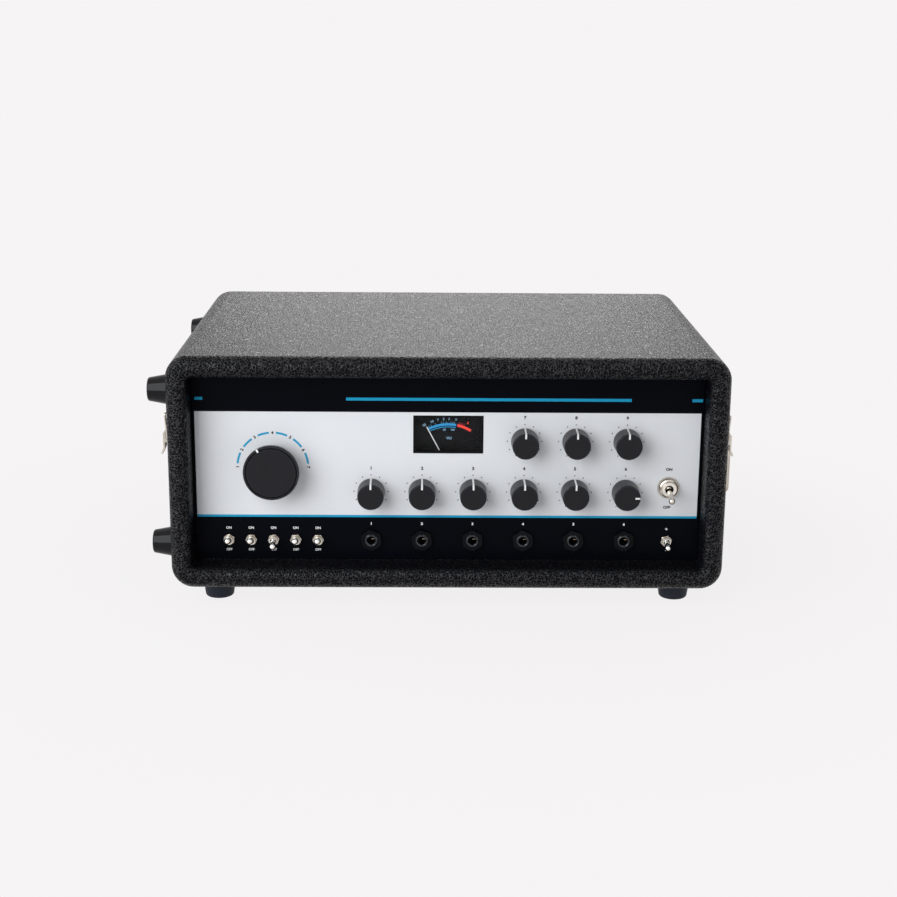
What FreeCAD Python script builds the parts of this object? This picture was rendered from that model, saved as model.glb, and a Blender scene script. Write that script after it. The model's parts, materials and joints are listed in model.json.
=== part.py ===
"""Tape echo unit in a covered wooden case with a hinged lid.

Axes: X runs left to right, Y from front to back, Z up.
The origin is the centre of the footprint, on the surface the rubber feet stand on.
"""
import FreeCAD
import Part
import math
import os

Vec = FreeCAD.Vector
OUT = "parts"

# Case of boards with a covering
CASE_W = 420.0
CASE_D = 300.0
CASE_H = 180.0
BOARD = 16.0
BACK_BOARD = 12.0
CASE_CORNER_R = 17.0
OPENING_CORNER_R = 3.0
FRONT_OUTER_R = 9.0
FRONT_INNER_R = 6.5
BACK_EDGE_R = 6.0
SEAM_H = 122.8
SEAM_GAP = 0.5
FOOT_H = 15.0

# Rear hinges
KNUCKLE_R = 3.0
HINGE_GAP = 0.3
PIN_R = 1.2
HINGE_LEAF_T = 1.2
HINGE_LEAF_H = 22.0
HINGE_W = 60.0
HINGE_X = 125.0
MID_KNUCKLE = 24.0
LEAF_CLEAR = 0.3
HINGE_SCREW_REACH = 13.6

HINGE_STAND = 2.0 * KNUCKLE_R + HINGE_GAP
FRONT_Y = -(CASE_D + HINGE_STAND) / 2.0
BACK_Y = FRONT_Y + CASE_D
MID_Y = FRONT_Y + CASE_D / 2.0
HALF_W = CASE_W / 2.0
BASE_Z = FOOT_H
TOP_Z = FOOT_H + CASE_H
SEAM_Z = FOOT_H + SEAM_H
IN_X = HALF_W - BOARD
IN_Z0 = BASE_Z + BOARD
IN_Z1 = TOP_Z - BOARD
IN_Y1 = BACK_Y - BACK_BOARD
HINGE_AXIS_Y = BACK_Y + KNUCKLE_R + HINGE_GAP

# Feet
FOOT_R_TOP = 12.8
FOOT_R_LOW = 10.8
FOOT_EDGE_R = 2.0
FOOT_INSET = 33.0
FOOT_WELL_R = 5.0
FOOT_WELL_DEPTH = 7.0
SIDE_FOOT_L = 16.0
SIDE_FOOT_R_BASE = 11.8
SIDE_FOOT_R_END = 8.8
SIDE_FOOT_EDGE_R = 1.6
SIDE_FOOT_FRONT = 28.0
SIDE_FOOT_REAR = 30.0
SIDE_FOOT_LOW = 30.0
SIDE_FOOT_HIGH = 150.0

# Wood screws
SCREW_HEAD_R = 3.0
SCREW_HEAD_H = 1.6
SCREW_SHANK_R = 1.4
SCREW_L = 9.0
SCREW_SLOT_W = 0.9
SCREW_SLOT_L = 3.6
SCREW_SLOT_DEPTH = 0.8
SCREW_FIT = 0.05
FOOT_SCREW_L = 16.0
CAP_SCREW_L = 20.0

# Draw latches, measured outwards from the side board
LATCH_FRONT = 36.0
LATCH_PLATE_T = 1.0
LATCH_PLATE_W = 22.0
LATCH_PLATE_H = 26.0
LATCH_SEAM_CLEAR = 1.2
LEVER_PIVOT_OUT = 3.4
LEVER_PIVOT_DROP = 6.8
LATCH_PIN_R = 1.2
LATCH_FIT = 0.05
EAR_IN = 3.2
EAR_T = 1.0
EAR_R = 2.0
FLANGE_IN = 4.5
FLANGE_T = 1.0
LEVER_T = 1.2
LEVER_FACE_OUT = 5.5
LEVER_FACE_DROP = 0.6
LEVER_L = 18.0
LEVER_TAB_OUT = 8.5
BAIL_WIRE_R = 0.8
BAIL_BEND_R = 1.2
BAIL_PIVOT_OUT = 3.0
BAIL_PIVOT_DROP = 5.5
BAIL_ARM_IN = 6.6
BAIL_H = 20.0
BAIL_WIRE_OUT = 4.6
KEEPER_W = 18.0
KEEPER_H = 11.0
KEEPER_REACH = 3.2
KEEPER_LIP_H = 3.5
KEEPER_LIFT = 3.4

# Strap handle on the right side, measured outwards from the board
HANDLE_H = 80.0
HANDLE_SPAN = 196.0
STRAP_W = 26.0
STRAP_T = 5.5
STRAP_OUT = SIDE_FOOT_L - STRAP_T
STRAP_SEAT = 2.0
STRAP_RAMP = 24.0
STRAP_END = 20.0
STRAP_EDGE_R = 1.6
CAP_L = 34.0
CAP_W = 36.0
CAP_T = 11.0
CAP_EDGE_R = 4.0
CAP_FIT = 0.3

# Front panel
PANEL_RECESS = 26.0
PANEL_T = 2.0
PANEL_GAP = 0.5
PANEL_Y = FRONT_Y + PANEL_RECESS
PANEL_BACK = PANEL_Y + PANEL_T

# Places of the controls: across from the middle, up from the panel opening
KNOB_X0 = -58.6
KNOB_PITCH = 38.9
KNOB_COLUMNS = 6
TOP_ROW_FIRST = 3
LOW_ROW_H = 55.1
TOP_ROW_H = 95.2
JACK_ROW_H = 16.5
SELECTOR_X = -133.2
SELECTOR_H = 74.2
TOGGLE_X0 = -167.9
TOGGLE_PITCH = 17.1
TOGGLE_COUNT = 5
LEVEL_X = 168.9
POWER_X = 169.1
POWER_H = 58.9
METER_X = 0.1
METER_H = 100.2

# Small knobs and the controls behind them
KNOB_R = 10.4
KNOB_FACE_R = 10.0
KNOB_H = 16.0
KNOB_EDGE = 0.7
KNOB_GAP = 1.0
KNOB_WALL = 2.2
KNOB_RECESS = 4.0
SHAFT_R = 3.0
SHAFT_FIT = 0.05
SHAFT_IN_KNOB = 10.0
SHAFT_END_GAP = 0.1
NUT_CLEAR = 1.0
BUSH_R = 3.5
BUSH_PROUD = 3.0
POT_R = 8.2
POT_L = 10.0
POT_TAG_W = 12.0
POT_TAG_H = 5.0
POT_TAG_T = 2.0
POT_TAG_SET = 3.0
NUT_H = 2.0
POT_NUT_AF = 10.0
HOLE_FIT = 0.1

# Selector knob
SELECTOR_BASE_R = 17.2
SELECTOR_R = 21.1
SELECTOR_KNOB_H = 17.5
SELECTOR_RIM_H = 3.2
GROOVE_R = 19.7
GROOVE_W = 1.2
GROOVE_DEPTH = 1.6
SELECTOR_BUSH_R = 4.75
SELECTOR_NUT_AF = 13.0
SWITCH_R = 15.0
SWITCH_L = 24.0
SELECTOR_REST_DEG = -30.0

# Small toggle switches
TOGGLE_BUSH_R = 3.1
TOGGLE_BORE_R = 2.45
TOGGLE_BALL_R = 2.4
TOGGLE_PROUD = 5.0
TOGGLE_PIVOT_IN = 1.6
TOGGLE_NECK_R = 1.6
TOGGLE_TIP_R = 2.5
TOGGLE_PIN_R = 0.5
TOGGLE_L = 10.5
TOGGLE_NUT_AF = 7.8
TOGGLE_NUT_TURNS = (28.0, 2.0, 14.0, 8.0, 0.0, 16.0)
TOGGLE_THROW = 13.0
PIVOT_PIN_FIT = 0.05
PIVOT_PIN_SEAT = 0.3
TOGGLE_BODY_W = 8.0
TOGGLE_BODY_H = 13.0
TOGGLE_BODY_D = 12.0

# Power switch
POWER_BUSH_R = 5.4
POWER_BORE_R = 3.3
POWER_BALL_R = 3.25
POWER_PROUD = 5.5
POWER_PIVOT_IN = 4.0
POWER_NECK_R = 1.7
POWER_TIP_R = 2.5
POWER_L = 18.0
POWER_RING_R = 7.5
POWER_RING_H = 2.4
POWER_PIN_R = 0.8
POWER_WASHER_R = 8.7
POWER_WASHER_T = 0.9
POWER_THROW = 14.0
POWER_BODY_W = 16.0
POWER_BODY_H = 28.0
POWER_BODY_D = 20.0

# Sockets for 6.35 mm plugs
JACK_BORE_R = 3.2
JACK_BUSH_R = 5.0
JACK_RIM = 0.6
JACK_PROUD = 4.0
JACK_NUT_AF = 15.0
JACK_NUT_H = 3.0
JACK_NUT_TURN = 36.0
JACK_NUT_SPREAD = 6.0
JACK_BODY = 18.0
JACK_BODY_D = 27.0
JACK_END_WALL = 2.0

# Level meter
METER_W = 53.4
METER_WIN_H = 29.7
METER_WALL = 1.5
METER_DEPTH = 24.0
METER_BELOW = 18.0
METER_FOOT_CLEAR = 3.5
METER_FIT = 0.2
METER_TOP_RIM = 2.0
LENS_T = 1.2
LENS_SET = 0.6
DIAL_DEPTH = 8.0
DIAL_T = 0.8
NEEDLE_L = 35.0
NEEDLE_W = 0.7
NEEDLE_T = 0.5
NEEDLE_DROP = 11.4
NEEDLE_GAP = 2.6
NEEDLE_HUB_R = 2.2
NEEDLE_PIN_R = 0.8
NEEDLE_PIN_FIT = 0.05
NEEDLE_REST_DEG = -28.0
METER_BUMP_R = 4.3

# Chassis and deck
SHEET = 1.5
CHASSIS_GAP = OPENING_CORNER_R + 0.2
CHASSIS_BACK_GAP = 3.0
FLANGE_W = 9.0
REAR_LIP_H = 15.0
DECK_DROP = 29.0
DECK_FRONT_GAP = 2.0
DECK_Z = IN_Z1 - DECK_DROP
DECK_TOP = DECK_Z + SHEET
COVER_T = 2.0
COVER_RIM_T = 3.0
COVER_H = 16.5
COVER_EDGE = 7.0
PILLAR_R = 4.0
PILLAR_INSET = 11.0
THUMB_R = 5.0
THUMB_H = 4.0
THUMB_STEM_R = 1.5
THUMB_STEM_L = 8.0

# Tape transport, places on the deck
TAPE_W = 6.35
TAPE_T = 0.25
TAPE_Z = DECK_TOP + 8.0
TAPE_SETBACK = 29.0
TAPE_GAP = 0.2
GUIDE_R = 4.0
GUIDE_FLANGE_R = 6.0
GUIDE_FLANGE_T = 0.8
GUIDE_PLAY = 0.4
GUIDE_END_X = 168.0
FOLD_PITCH = 11.0
FOLD_END_GAP = 14.0
FOLD_FIRST = 34.0
FOLD_X = 144.0
FOLD_WANDER = 9.0
CAPSTAN_X = 118.0
CAPSTAN_FIT = 0.05
CAPSTAN_RISE = 13.0
BEARING_R = 6.0
BEARING_DROP = 45.0
FLYWHEEL_R = 28.0
FLYWHEEL_T = 12.0
FLYWHEEL_GAP = 1.5
FLYWHEEL_DISH = 3.0
FLYWHEEL_RIM_W = 8.0
FLYWHEEL_HUB_R = 8.4
GROOVE_BELT = 1.2
ROLLER_R = 11.0
ROLLER_H = 9.0
ROLLER_BORE_R = 2.05
ROLLER_PIN_R = 2.0
ROLLER_PIN_OVER = 1.2
PINCH_GAP = 0.3
ARM_T = 1.6
ARM_LIFT = 1.2
ARM_HUB_H = 2.0
ARM_HUB_WALL = 2.5
ARM_W = 8.0
ARM_PIVOT_X = 30.0
ARM_PIVOT_Y = 10.0
ARM_PIN_R = 2.5
ARM_PIN_H = 7.0
ARM_BORE_R = 2.55
HEAD_W = 13.0
HEAD_D = 14.0
HEAD_H = 14.0
HEAD_NOSE_R = 9.0
HEAD_X0 = -118.0
HEAD_PITCH = 36.0
HEAD_COUNT = 5
MOTOR_X = 56.0
MOTOR_SETBACK = 52.0
MOTOR_R = 18.0
MOTOR_L = 40.0
MOTOR_SHAFT_R = 1.5
MOTOR_EDGE_R = 2.0
MOTOR_BOSS_R = 5.0
MOTOR_BOSS_H = 2.0
PULLEY_TOP_GAP = 0.3
PULLEY_R = 7.0
PULLEY_BORE_R = 1.52
BELT_T = 1.6
BELT_FIT = 0.1

# Power supply, circuit board and spring reverb in the bottom of the chassis
BOARD_W = 290.0
BOARD_D = 82.0
BOARD_T = 1.6
BOARD_STAND = 10.0
BOARD_FRONT_GAP = 34.0
STAND_R = 3.0
STAND_INSET = 8.0
CHIP_COUNT = 6
CHIP_W = 20.0
CHIP_D = 7.0
CHIP_H = 4.0
CHIP_INSET = 34.0
CHIP_ROW = 22.0
CAN_ROW = 46.0
CAN_R = 4.0
CAN_H = 11.0
TRAFO_X = 132.0
TRAFO_W = 62.0
TRAFO_D = 52.0
TRAFO_H = 50.0
TRAFO_BACK_GAP = 44.0
BOBBIN_INSET = 10.0
BOBBIN_DROP = 9.0
BOBBIN_R = 4.0
TRAFO_FOOT_LAP = 7.0
TRAFO_FOOT_INSET = 6.0
TRAFO_FOOT_T = 2.0
TANK_W = 235.0
TANK_D = 96.0
TANK_H = 33.0
TANK_SIDE_GAP = 5.8
TANK_RIM_W = 6.0
TANK_RIM_D = 4.0
TANK_RIM_T = 2.0
TANK_WALL = 1.5
TANK_EDGE_R = 3.0
TANK_BACK_GAP = 6.0

# Rear plate and mains inlet
REAR_X = 118.0
REAR_H = 62.0
REAR_CUT_W = 104.0
REAR_CUT_H = 52.0
REAR_PLATE_LAP = 8.0
REAR_PLATE_T = 1.5
INLET_SHIFT = 26.0
INLET_W = 27.5
INLET_BODY_H = 20.0
INLET_DEPTH = 24.0
INLET_FLANGE_T = 2.2
INLET_FLANGE_LAP = 3.0
SOCKET_W = 24.5
SOCKET_H = 16.5
SOCKET_DEPTH = 17.0
BLADE_W = 2.0
BLADE_H = 4.0
BLADE_L = 10.0
BLADE_PITCH = 7.0


def box(x0, x1, y0, y1, z0, z1):
    """Block between two corners."""
    return Part.makeBox(x1 - x0, y1 - y0, z1 - z0, Vec(x0, y0, z0))


def rod_x(y, z, x0, x1, r):
    return Part.makeCylinder(r, x1 - x0, Vec(x0, y, z), Vec(1, 0, 0))


def rod_y(x, z, y0, y1, r):
    return Part.makeCylinder(r, y1 - y0, Vec(x, y0, z), Vec(0, 1, 0))


def rod_z(x, y, z0, z1, r):
    return Part.makeCylinder(r, z1 - z0, Vec(x, y, z0), Vec(0, 0, 1))


def fuse_all(shapes):
    """One solid from pieces that meet or pass into each other."""
    body = shapes[0]
    for piece in shapes[1:]:
        body = body.fuse(piece)
    return body.removeSplitter()


def cut_all(body, tools):
    for tool in tools:
        body = body.cut(tool)
    return body


def edges_at(shape, axis, value, tol=0.01):
    """Edges that lie in the plane where the axis has the value."""
    found = []
    for edge in shape.Edges:
        bounds = edge.BoundBox
        low = (bounds.XMin, bounds.YMin, bounds.ZMin)[axis]
        high = (bounds.XMax, bounds.YMax, bounds.ZMax)[axis]
        if abs(low - value) < tol and abs(high - value) < tol:
            found.append(edge)
    return found


def edges_along(shape, axis):
    """Straight edges that run along the axis."""
    found = []
    for edge in shape.Edges:
        bounds = edge.BoundBox
        size = [bounds.XLength, bounds.YLength, bounds.ZLength]
        run = size.pop(axis)
        if run > 1e-3 and max(size) < 1e-4:
            found.append(edge)
    return found


def rounded_block(x0, x1, y0, y1, z0, z1, axis, r):
    """Block with its four edges along one axis rounded."""
    block = box(x0, x1, y0, y1, z0, z1)
    return block.makeFillet(r, edges_along(block, axis))


def lathe(profile, centre, axis):
    """Turned solid: profile points are (radius, distance along the axis)."""
    points = [Vec(r, 0, h) for r, h in profile]
    wire = Part.makePolygon(points + [points[0]])
    turned = Part.Face(wire).revolve(Vec(0, 0, 0), Vec(0, 0, 1), 360)
    turned.Placement = FreeCAD.Placement(centre, FreeCAD.Rotation(Vec(0, 0, 1), axis))
    return turned


def sheet_outline(points, axis, start, thickness):
    """Plate cut to an outline; the points are the two other coordinates in order."""
    corners = []
    for a, b in points:
        corner = [a, b]
        corner.insert(axis, start)
        corners.append(Vec(*corner))
    face = Part.Face(Part.makePolygon(corners + [corners[0]]))
    push = [0.0, 0.0, 0.0]
    push[axis] = thickness
    return face.extrude(Vec(*push))


def hex_nut(x, z, y0, height, across, bore_r, turn=0.0):
    """Six-sided nut on a threaded bush that runs along Y, turned by degrees."""
    reach = across / math.sqrt(3.0)
    headings = [math.radians(turn + a) for a in range(0, 360, 60)]
    points = [(x + reach * math.cos(a), z + reach * math.sin(a)) for a in headings]
    corners = [Vec(px, y0, pz) for px, pz in points]
    nut = Part.Face(Part.makePolygon(corners + [corners[0]])).extrude(Vec(0, height, 0))
    crown = lathe([(0, 0), (reach * 0.93, 0), (reach * 1.05, reach * 0.12), (reach * 1.05, height),
                   (0, height)], Vec(x, y0, z), Vec(0, 1, 0))
    return nut.common(crown).cut(rod_y(x, z, y0 - 1, y0 + height + 1, bore_r))


def screw(seat, outwards, length=SCREW_L):
    """Round-headed screw; seat is the point under its head."""
    profile = [(0, -length), (SCREW_SHANK_R, -length + 1.0), (SCREW_SHANK_R, 0), (SCREW_HEAD_R, 0),
               (SCREW_HEAD_R, SCREW_HEAD_H * 0.4), (SCREW_HEAD_R * 0.75, SCREW_HEAD_H * 0.85),
               (SCREW_HEAD_R * 0.35, SCREW_HEAD_H), (0, SCREW_HEAD_H)]
    body = lathe(profile, seat, outwards)
    floor = SCREW_HEAD_H - SCREW_SLOT_DEPTH
    for across, along in ((SCREW_SLOT_L, SCREW_SLOT_W), (SCREW_SLOT_W, SCREW_SLOT_L)):
        slot = box(-across / 2, across / 2, -along / 2, along / 2, floor, SCREW_HEAD_H)
        slot.Placement = FreeCAD.Placement(seat, FreeCAD.Rotation(Vec(0, 0, 1), outwards))
        body = body.cut(slot)
    return body


def screw_hole(seat, outwards, length=SCREW_L):
    """Room for a screw's shank."""
    start = seat - outwards * (length + 0.2)
    return Part.makeCylinder(SCREW_SHANK_R + SCREW_FIT, length + 0.2 + 4.0, start, outwards)


def write(name, pieces):
    """Save one node; several pieces stay separate solids."""
    shape = pieces[0] if len(pieces) == 1 else Part.makeCompound(pieces)
    shape.exportStep(OUT + "/" + name + ".step")
    print(name, len(shape.Solids), "solids", "valid" if shape.isValid() else "NOT VALID")


def knob_spots():
    """Centres of the small knobs: the full lower row, then the top row."""
    low = [(KNOB_X0 + i * KNOB_PITCH, IN_Z0 + LOW_ROW_H) for i in range(KNOB_COLUMNS)]
    top = [(KNOB_X0 + i * KNOB_PITCH, IN_Z0 + TOP_ROW_H) for i in range(TOP_ROW_FIRST, KNOB_COLUMNS)]
    return low + top


def jack_spots():
    return [(KNOB_X0 + i * KNOB_PITCH, IN_Z0 + JACK_ROW_H) for i in range(KNOB_COLUMNS)]


def toggle_spots():
    row = [(TOGGLE_X0 + i * TOGGLE_PITCH, IN_Z0 + JACK_ROW_H) for i in range(TOGGLE_COUNT)]
    return row + [(LEVEL_X, IN_Z0 + JACK_ROW_H)]


def foot_spots():
    x = HALF_W - FOOT_INSET
    return [(sx * x, MID_Y + sy * (CASE_D / 2.0 - FOOT_INSET)) for sx in (-1, 1) for sy in (-1, 1)]


def side_foot_ys():
    return (FRONT_Y + SIDE_FOOT_FRONT, BACK_Y - SIDE_FOOT_REAR)


def hinge_screw_xs():
    return [sx * HINGE_X + off * HINGE_W / 3.0 for sx in (-1, 1) for off in (-1, 0, 1)]


def hinge_screw_z(side):
    return SEAM_Z + side * HINGE_SCREW_REACH


def latch_y():
    return FRONT_Y + LATCH_FRONT


def latch_plate_top():
    return SEAM_Z - LATCH_SEAM_CLEAR


def latch_screw_spots():
    """Places of the latch plate's screws, as (y, z)."""
    z = latch_plate_top() - LATCH_PLATE_H + 4.6
    reach = LATCH_PLATE_W / 2.0 - SCREW_HEAD_R - 0.4
    return [(latch_y() - reach, z), (latch_y() + reach, z)]


def cap_centres():
    half = HANDLE_SPAN / 2.0
    return (MID_Y - half + CAP_L / 2.0, MID_Y + half - CAP_L / 2.0)


def cap_screw_spots():
    return [(y, BASE_Z + HANDLE_H) for y in cap_centres()]


def rear_plate_corners():
    half_w = REAR_CUT_W / 2.0 + REAR_PLATE_LAP / 2.0
    half_h = REAR_CUT_H / 2.0 + REAR_PLATE_LAP / 2.0
    return [(REAR_X + sx * half_w, BASE_Z + REAR_H + sz * half_h) for sx in (-1, 1) for sz in (-1, 1)]


def pillar_spots():
    x = IN_X - CHASSIS_GAP - COVER_EDGE - PILLAR_INSET
    front = deck_front() + COVER_EDGE + PILLAR_INSET
    back = IN_Y1 - CHASSIS_BACK_GAP - COVER_EDGE - PILLAR_INSET
    return [(sx * x, y) for sx in (-1, 1) for y in (front, back)]


def deck_front():
    """Front edge of the deck, behind the meter's case."""
    return PANEL_BACK + METER_DEPTH + DECK_FRONT_GAP


def tape_y():
    """Line of the tape's straight run past the heads."""
    return deck_front() + COVER_EDGE + COVER_RIM_T + TAPE_SETBACK


def fold_rows():
    """Odd count of the tape's folds that fill the chamber up to its back wall."""
    last = IN_Y1 - CHASSIS_BACK_GAP - COVER_EDGE - COVER_RIM_T - FOLD_END_GAP
    return 2 * int((last - tape_y() - FOLD_FIRST) / (2.0 * FOLD_PITCH)) + 1


def capstan_y():
    return tape_y() + TAPE_T / 2.0 + TAPE_GAP + SHAFT_R


def roller_y():
    return tape_y() - TAPE_T / 2.0 - TAPE_GAP - PINCH_GAP - ROLLER_R


def motor_y():
    return capstan_y() + MOTOR_SETBACK


def flywheel_z():
    return DECK_Z - BEARING_DROP - FLYWHEEL_GAP - FLYWHEEL_T


def sleeve():
    """Whole case before the seam is cut: four boards and a back."""
    outer = rounded_block(-HALF_W, HALF_W, FRONT_Y, BACK_Y, BASE_Z, TOP_Z, 1, CASE_CORNER_R)
    outer = outer.makeFillet(FRONT_OUTER_R, edges_at(outer, 1, FRONT_Y))
    outer = outer.makeFillet(BACK_EDGE_R, edges_at(outer, 1, BACK_Y))
    room = rounded_block(-IN_X, IN_X, FRONT_Y - 1, IN_Y1, IN_Z0, IN_Z1, 1, OPENING_CORNER_R)
    hollow = outer.cut(room)
    rim = []
    for edge in edges_at(hollow, 1, FRONT_Y):
        bounds = edge.BoundBox
        if max(abs(bounds.XMin), abs(bounds.XMax)) < IN_X + 0.1 and bounds.ZMin > IN_Z0 - 0.1 \
                and bounds.ZMax < IN_Z1 + 0.1:
            rim.append(edge)
    return hollow.makeFillet(FRONT_INNER_R, rim)


def cabinet_shell(whole):
    """Bottom board, lower sides and lower back, with the holes that the fittings need."""
    below = box(-HALF_W - 1, HALF_W + 1, FRONT_Y - 1, BACK_Y + 1, 0, SEAM_Z - SEAM_GAP / 2.0)
    body = whole.common(below)
    half_w = REAR_CUT_W / 2.0
    half_h = REAR_CUT_H / 2.0
    z = BASE_Z + REAR_H
    holes = [rounded_block(REAR_X - half_w, REAR_X + half_w, IN_Y1 - 1, BACK_Y + 1, z - half_h, z + half_h,
                           1, 4)]
    for x, y in foot_spots():
        holes.append(screw_hole(Vec(x, y, BASE_Z - FOOT_H + FOOT_WELL_DEPTH), Vec(0, 0, -1), FOOT_SCREW_L))
    for x in hinge_screw_xs():
        holes.append(screw_hole(Vec(x, BACK_Y + HINGE_LEAF_T, hinge_screw_z(-1)), Vec(0, 1, 0)))
    for y, z in latch_screw_spots():
        for side in (-1, 1):
            holes.append(screw_hole(Vec(side * (HALF_W + LATCH_PLATE_T), y, z), Vec(side, 0, 0)))
    for y, z in cap_screw_spots():
        holes.append(screw_hole(Vec(HALF_W + CAP_T, y, z), Vec(1, 0, 0), CAP_SCREW_L))
    for x, z in rear_plate_corners():
        holes.append(screw_hole(Vec(x, BACK_Y + REAR_PLATE_T, z), Vec(0, 1, 0)))
    return cut_all(body, holes)


def lid_shell(whole):
    """Top board with the upper sides and upper back."""
    above = box(-HALF_W - 1, HALF_W + 1, FRONT_Y - 1, BACK_Y + 1, SEAM_Z + SEAM_GAP / 2.0, TOP_Z + 1)
    holes = []
    for x in hinge_screw_xs():
        holes.append(screw_hole(Vec(x, BACK_Y + HINGE_LEAF_T, hinge_screw_z(1)), Vec(0, 1, 0)))
    return cut_all(whole.common(above), holes)


def rubber_feet():
    feet = []
    for x, y in foot_spots():
        solid = Part.makeCone(FOOT_R_LOW, FOOT_R_TOP, FOOT_H, Vec(x, y, BASE_Z - FOOT_H))
        solid = solid.makeFillet(FOOT_EDGE_R, edges_at(solid, 2, BASE_Z - FOOT_H))
        well = rod_z(x, y, BASE_Z - FOOT_H - 1, BASE_Z - FOOT_H + FOOT_WELL_DEPTH, FOOT_WELL_R)
        stem = rod_z(x, y, BASE_Z - FOOT_H, BASE_Z + 1, SCREW_SHANK_R + SCREW_FIT)
        feet.append(solid.cut(well).cut(stem))
    return feet


def side_feet(height):
    """Pair of turned feet on the left side, for standing the unit on end."""
    feet = []
    for y in side_foot_ys():
        base = Vec(-HALF_W, y, BASE_Z + height)
        solid = Part.makeCone(SIDE_FOOT_R_BASE, SIDE_FOOT_R_END, SIDE_FOOT_L, base, Vec(-1, 0, 0))
        feet.append(solid.makeFillet(SIDE_FOOT_EDGE_R, edges_at(solid, 0, -HALF_W - SIDE_FOOT_L)))
    return feet


def hinge_leaf(x, side):
    """One leaf with its knuckles; side is -1 on the case and 1 on the lid."""
    half = HINGE_W / 2.0
    mid = MID_KNUCKLE / 2.0
    near = KNUCKLE_R + 2.0 * LEAF_CLEAR
    z_near = SEAM_Z + side * near
    z_far = SEAM_Z + side * HINGE_LEAF_H
    leaf = rounded_block(x - half, x + half, BACK_Y, BACK_Y + HINGE_LEAF_T,
                         min(z_near, z_far), max(z_near, z_far), 1, 1.5)
    spans = [(-mid, mid)] if side > 0 else [(-half, -mid - LEAF_CLEAR), (mid + LEAF_CLEAR, half)]
    pieces = [leaf]
    for start, end in spans:
        web_far = SEAM_Z + side * (near + 2.0)
        pieces.append(box(x + start, x + end, BACK_Y + HINGE_GAP, BACK_Y + HINGE_GAP + HINGE_LEAF_T,
                          min(SEAM_Z, web_far), max(SEAM_Z, web_far)))
        pieces.append(rod_x(HINGE_AXIS_Y, SEAM_Z, x + start, x + end, KNUCKLE_R))
    body = fuse_all(pieces)
    bore = PIN_R if side < 0 else PIN_R + SHAFT_FIT
    body = body.cut(rod_x(HINGE_AXIS_Y, SEAM_Z, x - half - 1, x + half + 1, bore))
    if side < 0:
        body = body.fuse(rod_x(HINGE_AXIS_Y, SEAM_Z, x - half, x + half, PIN_R)).removeSplitter()
    return body


def hinge_leaves(side):
    """Both leaves on the case (-1) or the lid (1), drilled for their screws."""
    leaves = []
    for sx in (-1, 1):
        leaf = hinge_leaf(sx * HINGE_X, side)
        for x in hinge_screw_xs():
            leaf = leaf.cut(screw_hole(Vec(x, BACK_Y + HINGE_LEAF_T, hinge_screw_z(side)), Vec(0, 1, 0)))
        leaves.append(leaf)
    return leaves


def lid_hinge_screws():
    return [screw(Vec(x, BACK_Y + HINGE_LEAF_T, hinge_screw_z(1)), Vec(0, 1, 0)) for x in hinge_screw_xs()]


def both_sides(shape):
    """The piece made for the right side, and its mirror image on the left."""
    return [shape.mirror(Vec(0, 0, 0), Vec(1, 0, 0)), shape]


def lever_pivot():
    """The lever's pivot on the right side, as (x, z)."""
    return HALF_W + LEVER_PIVOT_OUT, SEAM_Z - LEVER_PIVOT_DROP


def bail_pivot():
    x, z = lever_pivot()
    return HALF_W + BAIL_PIVOT_OUT, z - BAIL_PIVOT_DROP


def latch_plate():
    """Base plate with two ears and the lever's pin."""
    y = latch_y()
    x, z = lever_pivot()
    top = latch_plate_top()
    half = LATCH_PLATE_W / 2.0
    pieces = [rounded_block(HALF_W, HALF_W + LATCH_PLATE_T, y - half, y + half, top - LATCH_PLATE_H, top,
                            0, 2.0)]
    for side in (-1, 1):
        y0 = min(y + side * EAR_IN, y + side * (EAR_IN + EAR_T))
        pieces.append(rod_y(x, z, y0, y0 + EAR_T, EAR_R))
        pieces.append(box(HALF_W, x, y0, y0 + EAR_T, z - EAR_R, z + EAR_R))
    reach = FLANGE_IN + FLANGE_T + 0.1
    pieces.append(rod_y(x, z, y - reach, y + reach, LATCH_PIN_R))
    body = fuse_all(pieces)
    for sy, sz in latch_screw_spots():
        body = body.cut(screw_hole(Vec(HALF_W + LATCH_PLATE_T, sy, sz), Vec(1, 0, 0)))
    return body


def latch_lever():
    """Folded lever with a flared thumb tab."""
    y = latch_y()
    x, z = lever_pivot()
    bx, bz = bail_pivot()
    face_in = HALF_W + LEVER_FACE_OUT
    face_out = face_in + LEVER_T
    tab_in = HALF_W + LEVER_TAB_OUT - LEVER_T
    outline = [(face_in, z - LEVER_FACE_DROP), (face_in, z - LEVER_L + 5.0), (tab_in, z - LEVER_L + 0.6),
               (tab_in + LEVER_T, z - LEVER_L + 1.2), (face_out, z - LEVER_L + 5.4),
               (face_out, z - LEVER_FACE_DROP)]
    reach = FLANGE_IN + FLANGE_T
    corners = [Vec(px, y - reach, pz) for px, pz in outline]
    plate = Part.Face(Part.makePolygon(corners + [corners[0]])).extrude(Vec(0, 2.0 * reach, 0))
    pieces = [plate]
    for side in (-1, 1):
        y0 = min(y + side * FLANGE_IN, y + side * (FLANGE_IN + FLANGE_T))
        pieces.append(rod_y(x, z, y0, y0 + FLANGE_T, EAR_R - 0.2))
        pieces.append(box(bx - 1.6, face_in, y0, y0 + FLANGE_T, bz - 2.4, z))
    body = fuse_all(pieces)
    body = body.cut(rod_y(x, z, y - reach - 1, y + reach + 1, LATCH_PIN_R + LATCH_FIT))
    return body.cut(rod_y(bx, bz, y - reach - 1, y + reach + 1, BAIL_WIRE_R + LATCH_FIT))


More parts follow.
